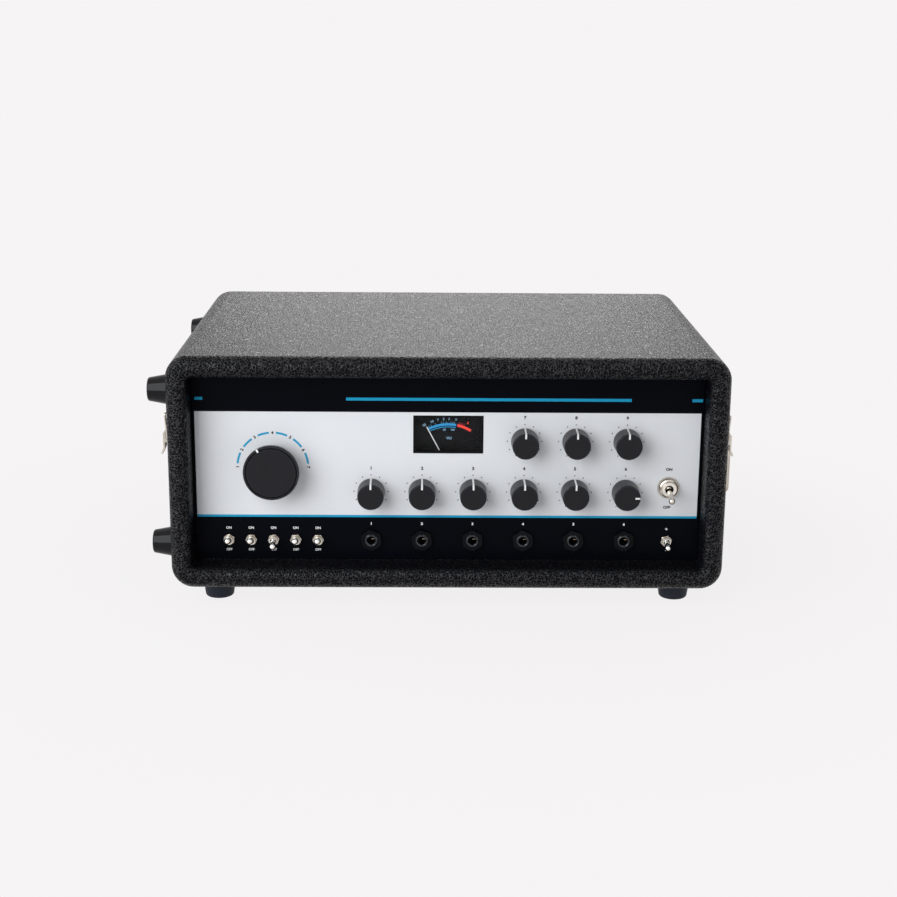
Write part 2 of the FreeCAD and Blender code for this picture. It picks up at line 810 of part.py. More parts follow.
def latch_bail():
    """Wire loop from the lever up to the keeper, bent from one length."""
    bx, bz = bail_pivot()
    low = Vec(bx, latch_y(), bz)
    rise = Vec(HALF_W + BAIL_WIRE_OUT - bx, 0, BAIL_H)
    up = Vec(rise).normalize()
    across = Vec(0, 1, 0)
    arm = BAIL_ARM_IN
    end = FLANGE_IN - 0.2
    flat = [(-end, 0), (-arm, 0), (-arm, rise.Length), (arm, rise.Length), (arm, 0), (end, 0)]
    corners = [low + across * s + up * t for s, t in flat]
    edges = []
    start = corners[0]
    for i in range(1, len(corners) - 1):
        way_in = (corners[i] - corners[i - 1]).normalize()
        way_out = (corners[i + 1] - corners[i]).normalize()
        bend_start = corners[i] - way_in * BAIL_BEND_R
        bend_end = corners[i] + way_out * BAIL_BEND_R
        centre = bend_start + way_out * BAIL_BEND_R
        middle = centre + (corners[i] - centre).normalize() * BAIL_BEND_R
        edges.append(Part.LineSegment(start, bend_start).toShape())
        edges.append(Part.Arc(bend_start, middle, bend_end).toShape())
        start = bend_end
    edges.append(Part.LineSegment(start, corners[-1]).toShape())
    ring = Part.Wire(Part.makeCircle(BAIL_WIRE_R, corners[0], across))
    return Part.Wire(edges).makePipeShell([ring], True, True)


def latch_keeper():
    """Hook plate on the lid, with two rivets."""
    y = latch_y()
    z = SEAM_Z + KEEPER_LIFT
    half = KEEPER_W / 2.0
    t = LATCH_PLATE_T
    x = HALF_W
    pieces = [rounded_block(x, x + t, y - half, y + half, z, z + KEEPER_H, 0, 1.5),
              box(x, x + KEEPER_REACH - 0.2, y - half + 2, y + half - 2, z, z + t),
              box(x + KEEPER_REACH - t, x + KEEPER_REACH - 0.2, y - half + 2, y + half - 2, z,
                  z + KEEPER_LIP_H)]
    for side in (-1, 1):
        pieces.append(rod_x(y + side * half * 0.5, z + KEEPER_H - 3.2, x, x + t + 0.8, 1.7))
    return fuse_all(pieces)


def strap_profile(grow):
    """Side view of the strap as (x, y) corners, grown all round by a clearance."""
    x_in = HALF_W + STRAP_OUT - grow
    x_out = HALF_W + STRAP_OUT + STRAP_T + grow
    low_in = HALF_W + STRAP_SEAT - grow
    low_out = HALF_W + STRAP_SEAT + STRAP_T + grow
    end = HANDLE_SPAN / 2.0 - CAP_L + STRAP_END + grow
    shoulder = HANDLE_SPAN / 2.0 - CAP_L
    arch = shoulder - STRAP_RAMP
    inside = [(low_in, -end), (low_in, -shoulder), (x_in, -arch), (x_in, arch), (low_in, shoulder),
              (low_in, end)]
    outside = [(low_out, end), (low_out, shoulder), (x_out, arch), (x_out, -arch), (low_out, -shoulder),
               (low_out, -end)]
    return [(x, MID_Y + y) for x, y in inside + outside]


def strap_body(grow):
    half = STRAP_W / 2.0 + grow
    z = BASE_Z + HANDLE_H
    return sheet_outline(strap_profile(grow), 2, z - half, 2.0 * half)


def handle_strap():
    """Moulded strap that stands off the side so that fingers go under it."""
    body = strap_body(0.0)
    long_edges = [e for e in body.Edges
                  if e.BoundBox.ZLength < 1e-4 and e.BoundBox.YLength > STRAP_RAMP * 0.5]
    body = body.makeFillet(STRAP_EDGE_R, long_edges)
    for y, z in cap_screw_spots():
        body = body.cut(screw_hole(Vec(HALF_W + CAP_T, y, z), Vec(1, 0, 0), CAP_SCREW_L))
    return body


def handle_caps():
    """Metal cap over each end of the strap."""
    caps = []
    z = BASE_Z + HANDLE_H
    for y in cap_centres():
        cap = box(HALF_W, HALF_W + CAP_T, y - CAP_L / 2, y + CAP_L / 2, z - CAP_W / 2, z + CAP_W / 2)
        cap = cap.makeFillet(CAP_EDGE_R * 1.5, edges_along(cap, 0))
        cap = cap.makeFillet(CAP_EDGE_R, edges_at(cap, 0, HALF_W + CAP_T))
        cap = cap.cut(strap_body(CAP_FIT))
        caps.append(cap.cut(screw_hole(Vec(HALF_W + CAP_T, y, z), Vec(1, 0, 0), CAP_SCREW_L)))
    return caps


def panel_holes():
    """Every hole through the front panel."""
    holes = []
    y0 = PANEL_Y - 1
    y1 = PANEL_BACK + 1
    for x, z in knob_spots():
        holes.append(rod_y(x, z, y0, y1, BUSH_R + HOLE_FIT))
    for x, z in jack_spots():
        holes.append(rod_y(x, z, y0, y1, JACK_BUSH_R + HOLE_FIT))
    for x, z in toggle_spots():
        holes.append(rod_y(x, z, y0, y1, TOGGLE_BUSH_R + HOLE_FIT))
    holes.append(rod_y(SELECTOR_X, IN_Z0 + SELECTOR_H, y0, y1, SELECTOR_BUSH_R + HOLE_FIT))
    holes.append(rod_y(POWER_X, IN_Z0 + POWER_H, y0, y1, POWER_BUSH_R + HOLE_FIT))
    half = METER_W / 2.0
    z = IN_Z0 + METER_H
    holes.append(box(METER_X - half, METER_X + half, y0, y1, z - METER_WIN_H / 2, z + METER_WIN_H / 2))
    return holes


def front_panel():
    plate = rounded_block(-IN_X + PANEL_GAP, IN_X - PANEL_GAP, PANEL_Y, PANEL_BACK, IN_Z0 + PANEL_GAP,
                          IN_Z1 - PANEL_GAP, 1, OPENING_CORNER_R)
    return cut_all(plate, panel_holes())


def knob(x, z, side, nut_reach, groove):
    """Knob with a hollow underside, and the shaft that it turns.

    Side holds the outline's (radius, height) points from the base up to the face.
    """
    y_base = PANEL_Y - KNOB_GAP
    top = side[-1][1]
    inner = max(nut_reach + NUT_CLEAR, side[0][0] - KNOB_WALL)
    bore = SHAFT_R + SHAFT_FIT
    blind = SHAFT_IN_KNOB + SHAFT_END_GAP
    profile = [(bore, KNOB_RECESS), (inner, KNOB_RECESS), (inner, 0)] + side
    if groove:
        floor = top - GROOVE_DEPTH
        inside = GROOVE_R - GROOVE_W
        profile += [(GROOVE_R, top), (GROOVE_R, floor), (inside, floor), (inside, top)]
    profile += [(0, top), (0, blind), (bore, blind)]
    body = lathe(profile, Vec(x, y_base, z), Vec(0, -1, 0))
    shaft = rod_y(x, z, y_base - SHAFT_IN_KNOB, PANEL_BACK + POT_L * 0.5, SHAFT_R)
    return [body, shaft]


def small_knob(x, z):
    side = [(KNOB_R, 0), (KNOB_FACE_R, KNOB_H - KNOB_EDGE), (KNOB_FACE_R - KNOB_EDGE, KNOB_H)]
    return knob(x, z, side, POT_NUT_AF / math.sqrt(3.0), False)


def selector_knob():
    """Large knob that widens towards its face, which has a groove round it."""
    top = SELECTOR_KNOB_H
    side = [(SELECTOR_BASE_R, 0), (SELECTOR_R, top - SELECTOR_RIM_H), (SELECTOR_R, top - KNOB_EDGE),
            (SELECTOR_R - KNOB_EDGE, top)]
    return knob(SELECTOR_X, IN_Z0 + SELECTOR_H, side, SELECTOR_NUT_AF / math.sqrt(3.0), True)


def control_body(x, z, bush_r, body_r, body_l):
    """Round control behind the panel with a threaded bush through it."""
    body = rod_y(x, z, PANEL_BACK, PANEL_BACK + body_l, body_r)
    bush = rod_y(x, z, PANEL_Y - BUSH_PROUD, PANEL_BACK + 1, bush_r)
    low = PANEL_BACK + POT_L * 0.5 + SHAFT_END_GAP
    bore = rod_y(x, z, PANEL_Y - BUSH_PROUD - 1, low, SHAFT_R + SHAFT_FIT)
    return body.fuse(bush).cut(bore).removeSplitter()


def potentiometers():
    """Round controls, each with its terminal strip hanging down."""
    bodies = []
    for x, z in knob_spots():
        y0 = PANEL_BACK + POT_TAG_SET
        strip = box(x - POT_TAG_W / 2, x + POT_TAG_W / 2, y0, y0 + POT_TAG_T, z - POT_R - POT_TAG_H, z)
        strip = strip.cut(rod_y(x, z, PANEL_BACK, PANEL_BACK + POT_L, POT_R * 0.5))
        bodies.append(control_body(x, z, BUSH_R, POT_R, POT_L).fuse(strip).removeSplitter())
    return bodies


def selector_switch():
    return control_body(SELECTOR_X, IN_Z0 + SELECTOR_H, SELECTOR_BUSH_R, SWITCH_R, SWITCH_L)


def toggle_body(x, z, bush_r, bore_r, proud, pivot, pin_r, size):
    """Switch block behind the panel with a bored bush in front and the lever's pin across the bore."""
    width, height, depth = size
    block = box(x - width / 2, x + width / 2, PANEL_BACK, PANEL_BACK + depth, z - height / 2, z + height / 2)
    bush = rod_y(x, z, PANEL_Y - proud, PANEL_BACK + 1, bush_r)
    bore = rod_y(x, z, PANEL_Y - proud - 1, pivot + bore_r * 1.2, bore_r)
    reach = bore_r + PIVOT_PIN_SEAT
    pin = rod_x(pivot, z, x - reach, x + reach, pin_r)
    return block.fuse(bush).cut(bore).fuse(pin).removeSplitter()


def toggle_pivot():
    return PANEL_Y - TOGGLE_PROUD + TOGGLE_PIVOT_IN


def power_pivot():
    return PANEL_Y - POWER_PROUD + POWER_PIVOT_IN


def toggle_switch_bodies():
    small = (TOGGLE_BODY_W, TOGGLE_BODY_H, TOGGLE_BODY_D)
    large = (POWER_BODY_W, POWER_BODY_H, POWER_BODY_D)
    bodies = [toggle_body(x, z, TOGGLE_BUSH_R, TOGGLE_BORE_R, TOGGLE_PROUD, toggle_pivot(), TOGGLE_PIN_R,
                          small) for x, z in toggle_spots()]
    bodies.append(toggle_body(POWER_X, IN_Z0 + POWER_H, POWER_BUSH_R, POWER_BORE_R, POWER_PROUD,
                              power_pivot(), POWER_PIN_R, large))
    return bodies


def toggle_lever(place, ball_r, pin_r, neck_r, shoulder_r, tip_r, length, tilt):
    """Ball on its pin in the bush, with a bat that ends in a round tip, tilted up or down."""
    ball = Part.makeSphere(ball_r)
    neck = Part.makeCone(neck_r, shoulder_r, length - tip_r, Vec(0, 0, 0), Vec(0, -1, 0))
    tip = Part.makeSphere(tip_r, Vec(0, -(length - tip_r), 0))
    body = fuse_all([ball, neck, tip]).cut(rod_x(0, 0, -ball_r, ball_r, pin_r + PIVOT_PIN_FIT))
    body.Placement = FreeCAD.Placement(place, FreeCAD.Rotation(Vec(1, 0, 0), -tilt))
    return body


def small_toggle(index, up):
    x, z = toggle_spots()[index]
    tilt = TOGGLE_THROW if up else -TOGGLE_THROW
    return toggle_lever(Vec(x, toggle_pivot(), z), TOGGLE_BALL_R, TOGGLE_PIN_R, TOGGLE_NECK_R, TOGGLE_TIP_R,
                        TOGGLE_TIP_R, TOGGLE_L + TOGGLE_PIVOT_IN, tilt)


def power_toggle():
    place = Vec(POWER_X, power_pivot(), IN_Z0 + POWER_H)
    return toggle_lever(place, POWER_BALL_R, POWER_PIN_R, POWER_NECK_R, POWER_NECK_R * 1.25, POWER_TIP_R,
                        POWER_L + POWER_PIVOT_IN, -POWER_THROW)


def panel_nuts():
    """Nuts of the knob controls and the switches, and the power switch's washer and ring."""
    nuts = []
    for x, z in knob_spots():
        nuts.append(hex_nut(x, z, PANEL_Y - NUT_H, NUT_H, POT_NUT_AF, BUSH_R))
    nuts.append(hex_nut(SELECTOR_X, IN_Z0 + SELECTOR_H, PANEL_Y - NUT_H, NUT_H, SELECTOR_NUT_AF,
                        SELECTOR_BUSH_R))
    for spot, turn in zip(toggle_spots(), TOGGLE_NUT_TURNS):
        nuts.append(hex_nut(spot[0], spot[1], PANEL_Y - NUT_H, NUT_H, TOGGLE_NUT_AF, TOGGLE_BUSH_R, turn))
    z = IN_Z0 + POWER_H
    washer = lathe([(POWER_BUSH_R, 0), (POWER_WASHER_R, 0), (POWER_WASHER_R - 0.3, POWER_WASHER_T),
                    (POWER_BUSH_R, POWER_WASHER_T)], Vec(POWER_X, PANEL_Y, z), Vec(0, -1, 0))
    slope = POWER_RING_R - POWER_BUSH_R
    high = POWER_RING_H
    ring = lathe([(POWER_BUSH_R, 0), (POWER_RING_R, 0), (POWER_RING_R, high * 0.45),
                  (POWER_RING_R - slope * 0.25, high * 0.75), (POWER_RING_R - slope * 0.6, high * 0.95),
                  (POWER_BUSH_R, high)], Vec(POWER_X, PANEL_Y - POWER_WASHER_T, z), Vec(0, -1, 0))
    return nuts + [washer, ring]


def jack_sockets():
    """Square socket bodies, each with a threaded bush and one blind bore that opens in a bevel."""
    bodies = []
    for x, z in jack_spots():
        half = JACK_BODY / 2.0
        mouth = PANEL_Y - JACK_PROUD
        block = box(x - half, x + half, PANEL_BACK, PANEL_BACK + JACK_BODY_D, z - half, z + half)
        bush = lathe([(0, -PANEL_T - 1), (JACK_BUSH_R, -PANEL_T - 1), (JACK_BUSH_R, JACK_PROUD - JACK_RIM),
                      (JACK_BUSH_R - JACK_RIM, JACK_PROUD), (0, JACK_PROUD)],
                     Vec(x, PANEL_Y, z), Vec(0, -1, 0))
        bore = rod_y(x, z, mouth - 1, PANEL_BACK + JACK_BODY_D - JACK_END_WALL, JACK_BORE_R)
        bevel = Part.makeCone(JACK_BORE_R + JACK_RIM, JACK_BORE_R, JACK_RIM, Vec(x, mouth, z), Vec(0, 1, 0))
        bodies.append(block.fuse(bush).cut(bore).cut(bevel).removeSplitter())
    return bodies


def jack_nuts():
    nuts = []
    for index, spot in enumerate(jack_spots()):
        turn = JACK_NUT_TURN + JACK_NUT_SPREAD * math.sin(2.0 * index)
        nuts.append(hex_nut(spot[0], spot[1], PANEL_Y - JACK_NUT_H, JACK_NUT_H, JACK_NUT_AF, JACK_BUSH_R,
                            turn))
    return nuts


def meter_frame():
    """Middle, half width, bottom, top and window bottom of the meter."""
    z = IN_Z0 + METER_H
    bottom = z - METER_WIN_H / 2.0 - METER_BELOW
    top = z + METER_WIN_H / 2.0 + METER_TOP_RIM
    return METER_X, METER_W / 2.0 + METER_WALL, bottom, top, z - METER_WIN_H / 2.0


def needle_pivot():
    """The needle's pivot, as (x, y, z)."""
    x, half, bottom, top, window = meter_frame()
    return x, PANEL_Y + DIAL_DEPTH - NEEDLE_GAP, window - NEEDLE_DROP


def meter_block(inset):
    """Outside of the meter's case, or its room when inset, with a narrow foot between the controls."""
    x, half, bottom, top, window = meter_frame()
    foot = (KNOB_PITCH - 2.0 * POT_R - METER_FOOT_CLEAR) / 2.0
    y0 = PANEL_BACK + inset
    y1 = PANEL_BACK + METER_DEPTH - inset
    wide = box(x - half + inset, x + half - inset, y0, y1, window - METER_TOP_RIM + inset, top - inset)
    narrow = box(x - foot + inset, x + foot - inset, y0, y1, bottom + inset, top - inset)
    return wide.fuse(narrow).removeSplitter()


def meter_case():
    """Open-fronted case behind the panel, a snout in the window, the dial and the needle's pin."""
    x, half, bottom, top, window = meter_frame()
    t = METER_WALL
    half_w = METER_W / 2.0 - METER_FIT
    half_h = METER_WIN_H / 2.0 - METER_FIT
    z = IN_Z0 + METER_H
    snout = box(x - half_w, x + half_w, PANEL_Y, PANEL_BACK + t, z - half_h, z + half_h)
    window_hole = box(x - half_w + t, x + half_w - t, PANEL_Y - 1, PANEL_BACK + t + 1, z - half_h + t,
                      z + half_h - t)
    dial_y = PANEL_Y + DIAL_DEPTH
    dial = meter_block(t).common(box(x - half, x + half, dial_y, dial_y + DIAL_T, bottom, top))
    px, py, pz = needle_pivot()
    pin = rod_y(px, pz, py - 0.9, dial_y, NEEDLE_PIN_R)
    frame = meter_block(0.0).cut(meter_block(t)).fuse(snout).cut(window_hole).removeSplitter()
    return [fuse_all([frame, dial, pin])]


def meter_lens():
    """Clear window pressed into the snout, with the small bump over the needle's foot."""
    x = METER_X
    z = IN_Z0 + METER_H
    half_w = METER_W / 2.0 - METER_FIT - METER_WALL
    half_h = METER_WIN_H / 2.0 - METER_FIT - METER_WALL
    y = PANEL_Y + LENS_SET
    pane = box(x - half_w, x + half_w, y, y + LENS_T, z - half_h, z + half_h)
    bump = rod_y(x, z - half_h, y - 0.5, y + LENS_T, METER_BUMP_R)
    bump = bump.common(box(x - half_w, x + half_w, y - 1, y + LENS_T, z - half_h, z + half_h))
    return fuse_all([pane, bump])


def meter_needle():
    """Thin pointer on a small hub with a tail weight."""
    px, py, pz = needle_pivot()
    hub = Part.makeCylinder(NEEDLE_HUB_R, 1.2, Vec(0, -0.6, 0), Vec(0, 1, 0))
    blade = box(-NEEDLE_W / 2, NEEDLE_W / 2, -NEEDLE_T / 2, NEEDLE_T / 2, 0, NEEDLE_L)
    tail = box(-NEEDLE_W * 1.2, NEEDLE_W * 1.2, -0.5, 0.5, -4.0, 0)
    bore = Part.makeCylinder(NEEDLE_PIN_R + NEEDLE_PIN_FIT, 4.0, Vec(0, -2.0, 0), Vec(0, 1, 0))
    body = fuse_all([hub, blade, tail]).cut(bore)
    turn = FreeCAD.Rotation(Vec(0, 1, 0), NEEDLE_REST_DEG)
    body.Placement = FreeCAD.Placement(Vec(px, py, pz), turn)
    return body


def chassis_x():
    return IN_X - CHASSIS_GAP


def chassis():
    """Folded sheet tray: floor, sides, front flanges, rear lip and pillars for the board."""
    x = chassis_x()
    y0 = PANEL_BACK
    y1 = IN_Y1 - CHASSIS_BACK_GAP
    pieces = [box(-x, x, y0, y1, IN_Z0, IN_Z0 + SHEET), box(-x, x, y1 - SHEET, y1, IN_Z0, IN_Z0 + REAR_LIP_H)]
    for side in (-1, 1):
        xs = sorted((side * (x - SHEET), side * x))
        pieces.append(box(xs[0], xs[1], y0, y1, IN_Z0, DECK_Z))
        fs = sorted((side * (x - SHEET - FLANGE_W), side * x))
        pieces.append(box(fs[0], fs[1], y0, y0 + SHEET, IN_Z0, DECK_Z))
    for px, py in board_pillars():
        pieces.append(rod_z(px, py, IN_Z0, IN_Z0 + SHEET + BOARD_STAND, STAND_R))
    return fuse_all(pieces)


def board_rect():
    y0 = PANEL_BACK + BOARD_FRONT_GAP
    return -BOARD_W / 2.0, BOARD_W / 2.0, y0, y0 + BOARD_D


def board_pillars():
    x0, x1, y0, y1 = board_rect()
    inset = STAND_INSET
    return [(x, y) for x in (x0 + inset, x1 - inset) for y in (y0 + inset, y1 - inset)]


def circuit_board():
    """Board on its four pillars with a row of chips and a row of round cans."""
    x0, x1, y0, y1 = board_rect()
    z = IN_Z0 + SHEET + BOARD_STAND
    low = z + BOARD_T * 0.9
    high = z + BOARD_T
    pieces = [box(x0, x1, y0, y1, z, high)]
    for i in range(CHIP_COUNT):
        cx = x0 + CHIP_INSET + i * (BOARD_W - 2.0 * CHIP_INSET) / (CHIP_COUNT - 1)
        pieces.append(box(cx - CHIP_W / 2, cx + CHIP_W / 2, y0 + CHIP_ROW, y0 + CHIP_ROW + CHIP_D, low,
                          high + CHIP_H))
        pieces.append(rod_z(cx, y0 + CAN_ROW, low, high + CAN_H, CAN_R))
    return fuse_all(pieces)


def power_transformer():
    """Laminated core with its winding bobbin and two feet."""
    y1 = IN_Y1 - TRAFO_BACK_GAP
    y0 = y1 - TRAFO_D
    z0 = IN_Z0 + SHEET
    x0 = TRAFO_X - TRAFO_W / 2
    x1 = TRAFO_X + TRAFO_W / 2
    depth = (y1 - y0) / 4.0
    core = box(x0, x1, y0 + depth, y1 - depth, z0, z0 + TRAFO_H)
    bobbin = box(x0 + BOBBIN_INSET, x1 - BOBBIN_INSET, y0, y1, z0 + BOBBIN_DROP, z0 + TRAFO_H - BOBBIN_DROP)
    bobbin = bobbin.makeFillet(BOBBIN_R, edges_along(bobbin, 2))
    foot = box(x0 - TRAFO_FOOT_LAP, x1 + TRAFO_FOOT_LAP, y0 + depth + TRAFO_FOOT_INSET,
               y1 - depth - TRAFO_FOOT_INSET, z0, z0 + TRAFO_FOOT_T)
    return fuse_all([core, bobbin, foot])


def reverb_tank():
    """Shallow sheet tray with a flat rim, closed side up."""
    x0 = -chassis_x() + SHEET + TANK_SIDE_GAP
    x1 = x0 + TANK_W
    y1 = IN_Y1 - CHASSIS_BACK_GAP - TANK_BACK_GAP
    y0 = y1 - TANK_D
    z0 = IN_Z0 + SHEET
    top = z0 + TANK_H
    w = TANK_RIM_W
    d = TANK_RIM_D
    t = TANK_WALL
    tray = box(x0 + w, x1 - w, y0 + d, y1 - d, z0, top)
    tray = tray.makeFillet(TANK_EDGE_R, edges_along(tray, 2) + edges_at(tray, 2, top))
    rim = box(x0, x1, y0, y1, z0, z0 + TANK_RIM_T)
    inside = box(x0 + w + t, x1 - w - t, y0 + d + t, y1 - d - t, z0 - 1, top - t)
    return tray.fuse(rim).cut(inside).removeSplitter()


def deck_plate():
    """Plate on the chassis sides with the capstan's bearing and the cover's pillars."""
    x = chassis_x()
    y1 = IN_Y1 - CHASSIS_BACK_GAP
    pieces = [box(-x, x, deck_front(), y1, DECK_Z, DECK_TOP)]
    pieces.append(rod_z(CAPSTAN_X, capstan_y(), DECK_Z - BEARING_DROP, DECK_TOP, BEARING_R))
    for px, py in pillar_spots():
        pieces.append(rod_z(px, py, DECK_Z, DECK_TOP + COVER_H - COVER_T, PILLAR_R))
    ax, ay = arm_pivot()
    pieces.append(rod_z(ax, ay, DECK_Z, DECK_TOP + ARM_PIN_H, ARM_PIN_R))
    body = fuse_all(pieces)
    bore = rod_z(CAPSTAN_X, capstan_y(), DECK_Z - BEARING_DROP - 1, DECK_TOP + 1, SHAFT_R + CAPSTAN_FIT)
    body = body.cut(bore)
    for px, py in pillar_spots():
        top = DECK_TOP + COVER_H - COVER_T
        body = body.cut(rod_z(px, py, top - THUMB_STEM_L, top + 1, THUMB_STEM_R + SCREW_FIT))
    return body


def chamber_cover():
    """Clear cover over the whole deck: a flat top with a rim down to the deck."""
    x = chassis_x() - COVER_EDGE
    y0 = deck_front() + COVER_EDGE
    y1 = IN_Y1 - CHASSIS_BACK_GAP - COVER_EDGE
    z1 = DECK_TOP + COVER_H
    outer = rounded_block(-x, x, y0, y1, DECK_TOP, z1, 2, 5.0)
    t = COVER_RIM_T
    inner = rounded_block(-x + t, x - t, y0 + t, y1 - t, DECK_TOP - 1, z1 - COVER_T, 2, 2.0)
    body = outer.cut(inner)
    for px, py in pillar_spots():
        body = body.cut(rod_z(px, py, z1 - COVER_T - 1, z1 + 1, THUMB_STEM_R + SCREW_FIT))
    return body


def thumbscrews():
    """Knurled screws that hold the clear cover down."""
    screws = []
    top = DECK_TOP + COVER_H
    stem = THUMB_STEM_L + COVER_T - 0.5
    for x, y in pillar_spots():
        profile = [(0, -stem), (THUMB_STEM_R, -stem), (THUMB_STEM_R, 0), (THUMB_R, 0),
                   (THUMB_R, THUMB_H - 0.6),
                   (THUMB_R - 0.6, THUMB_H), (0, THUMB_H)]
        screws.append(lathe(profile, Vec(x, y, top), Vec(0, 0, 1)))
    return screws


def arm_pivot():
    return CAPSTAN_X + ARM_PIVOT_X, roller_y() - ARM_PIVOT_Y


def pinch_arm():
    """Flat arm from its pivot to the roller's pin."""
    ax, ay = arm_pivot()
    ry = roller_y()
    z = DECK_TOP + ARM_LIFT
    hub_top = z + ARM_T + ARM_HUB_H
    along = Vec(CAPSTAN_X - ax, ry - ay, 0)
    bar = box(0, along.Length, -ARM_W / 2, ARM_W / 2, 0, ARM_T)
    bar.Placement = FreeCAD.Placement(Vec(ax, ay, z), FreeCAD.Rotation(Vec(1, 0, 0), along))
    hub = rod_z(ax, ay, z, hub_top, ARM_BORE_R + ARM_HUB_WALL)
    end = rod_z(CAPSTAN_X, ry, z, z + ARM_T, ARM_W / 2)
    pin = rod_z(CAPSTAN_X, ry, z, TAPE_Z + ROLLER_H / 2 + ROLLER_PIN_OVER, ROLLER_PIN_R)
    return fuse_all([bar, hub, end, pin]).cut(rod_z(ax, ay, z - 1, hub_top + 1, ARM_BORE_R))


def pinch_roller():
    """Rubber roller that presses the tape against the capstan."""
    low = TAPE_Z - ROLLER_H / 2.0
    tyre = rod_z(CAPSTAN_X, roller_y(), low, low + ROLLER_H, ROLLER_R)
    return tyre.cut(rod_z(CAPSTAN_X, roller_y(), low - 1, low + ROLLER_H + 1, ROLLER_BORE_R))


def belt_z():
    return flywheel_z() + FLYWHEEL_T / 2.0


def flywheel():
    """Heavy disc grooved for the belt, with the capstan as its shaft."""
    z0 = flywheel_z()
    x = CAPSTAN_X
    y = capstan_y()
    r = FLYWHEEL_R
    half = BELT_T
    mid = FLYWHEEL_T / 2.0
    dish = FLYWHEEL_T - FLYWHEEL_DISH
    rim = r - FLYWHEEL_RIM_W
    profile = [(0, 0), (r, 0), (r, mid - half), (r - GROOVE_BELT, mid - half), (r - GROOVE_BELT, mid + half),
               (r, mid + half), (r, FLYWHEEL_T), (rim, FLYWHEEL_T), (rim, dish), (FLYWHEEL_HUB_R, dish),
               (FLYWHEEL_HUB_R, FLYWHEEL_T), (0, FLYWHEEL_T)]
    disc = lathe(profile, Vec(x, y, z0), Vec(0, 0, 1))
    shaft = rod_z(x, y, z0 + 1, DECK_TOP + CAPSTAN_RISE, SHAFT_R)
    return fuse_all([disc, shaft])


def motor_shaft_low():
    return flywheel_z() - 1.0


def drive_motor():
    """Can motor hung under the deck with its shaft down."""
    x = MOTOR_X
    y = motor_y()
    can = rod_z(x, y, DECK_Z - MOTOR_L, DECK_Z, MOTOR_R)
    can = can.makeFillet(MOTOR_EDGE_R, edges_at(can, 2, DECK_Z - MOTOR_L))
    boss = rod_z(x, y, DECK_Z - MOTOR_L - MOTOR_BOSS_H, DECK_Z - MOTOR_L + 1, MOTOR_BOSS_R)
    shaft = rod_z(x, y, motor_shaft_low(), DECK_Z - MOTOR_L, MOTOR_SHAFT_R)
    return fuse_all([can, boss, shaft])


def motor_pulley():
    z0 = flywheel_z()
    mid = FLYWHEEL_T / 2.0
    half = BELT_T
    r = PULLEY_R
    top = min(FLYWHEEL_T, DECK_Z - MOTOR_L - MOTOR_BOSS_H - PULLEY_TOP_GAP - z0)
    profile = [(PULLEY_BORE_R, 0), (r, 0), (r, mid - half), (r - GROOVE_BELT, mid - half),
               (r - GROOVE_BELT, mid + half), (r, mid + half), (r, top), (PULLEY_BORE_R, top)]
    return lathe(profile, Vec(MOTOR_X, motor_y(), z0), Vec(0, 0, 1))


def belt_loop(r_big, r_small):
    """Outline round the flywheel and the pulley: two arcs and two tangent runs."""
    a = Vec(CAPSTAN_X, capstan_y(), 0)
    b = Vec(MOTOR_X, motor_y(), 0)
    along = b - a
    gap = along.Length
    heading = math.atan2(along.y, along.x)
    lean = math.acos((r_big - r_small) / gap)
    points = []
    for centre, r in ((a, r_big), (b, r_small)):
        for side in (1, -1):
            angle = heading + side * lean
            points.append(centre + Vec(math.cos(angle), math.sin(angle), 0) * r)
    a_left, a_right, b_left, b_right = points
    a_far = a - along.normalize() * r_big
    b_far = b + along * r_small
    edges = [Part.Arc(a_left, a_far, a_right).toShape(), Part.LineSegment(a_right, b_right).toShape(),
             Part.Arc(b_right, b_far, b_left).toShape(), Part.LineSegment(b_left, a_left).toShape()]
    return Part.Wire(edges)


def drive_belt():
    """Square-section belt in the grooves of the flywheel and the motor pulley."""
    big = FLYWHEEL_R - GROOVE_BELT + BELT_FIT
    small = PULLEY_R - GROOVE_BELT + BELT_FIT
    ring = Part.Face([belt_loop(big + BELT_T, small + BELT_T), belt_loop(big, small)])
    ring.validate()
    belt = ring.extrude(Vec(0, 0, BELT_T))
    belt.translate(Vec(0, 0, belt_z() - BELT_T / 2.0))
    return belt


def guide_ring():
    """Radius from a guide's centre to the middle of the tape."""
    return GUIDE_R + TAPE_GAP + TAPE_T / 2.0


def tape_corners():
    """Corners of the tape's closed path as (x, y, radius)."""
    y_run = tape_y()
    ring = guide_ring()
    corners = [(-GUIDE_END_X, y_run, ring), (GUIDE_END_X, y_run, ring)]
    first = y_run + FOLD_FIRST
    turn = FOLD_PITCH * 0.49
    corners.append((GUIDE_END_X, first, turn))
    for row in range(fold_rows()):
        y = first + row * FOLD_PITCH
        left = row % 2 == 0
        side = -1 if left else 1
        x = side * (FOLD_X + FOLD_WANDER * math.sin(1.9 * row))
        if row == fold_rows() - 1:
            x = -GUIDE_END_X
            corners.append((x, y, ring))
        else:
            corners.append((x, y, turn))
            corners.append((x, y + FOLD_PITCH, turn))
    return corners


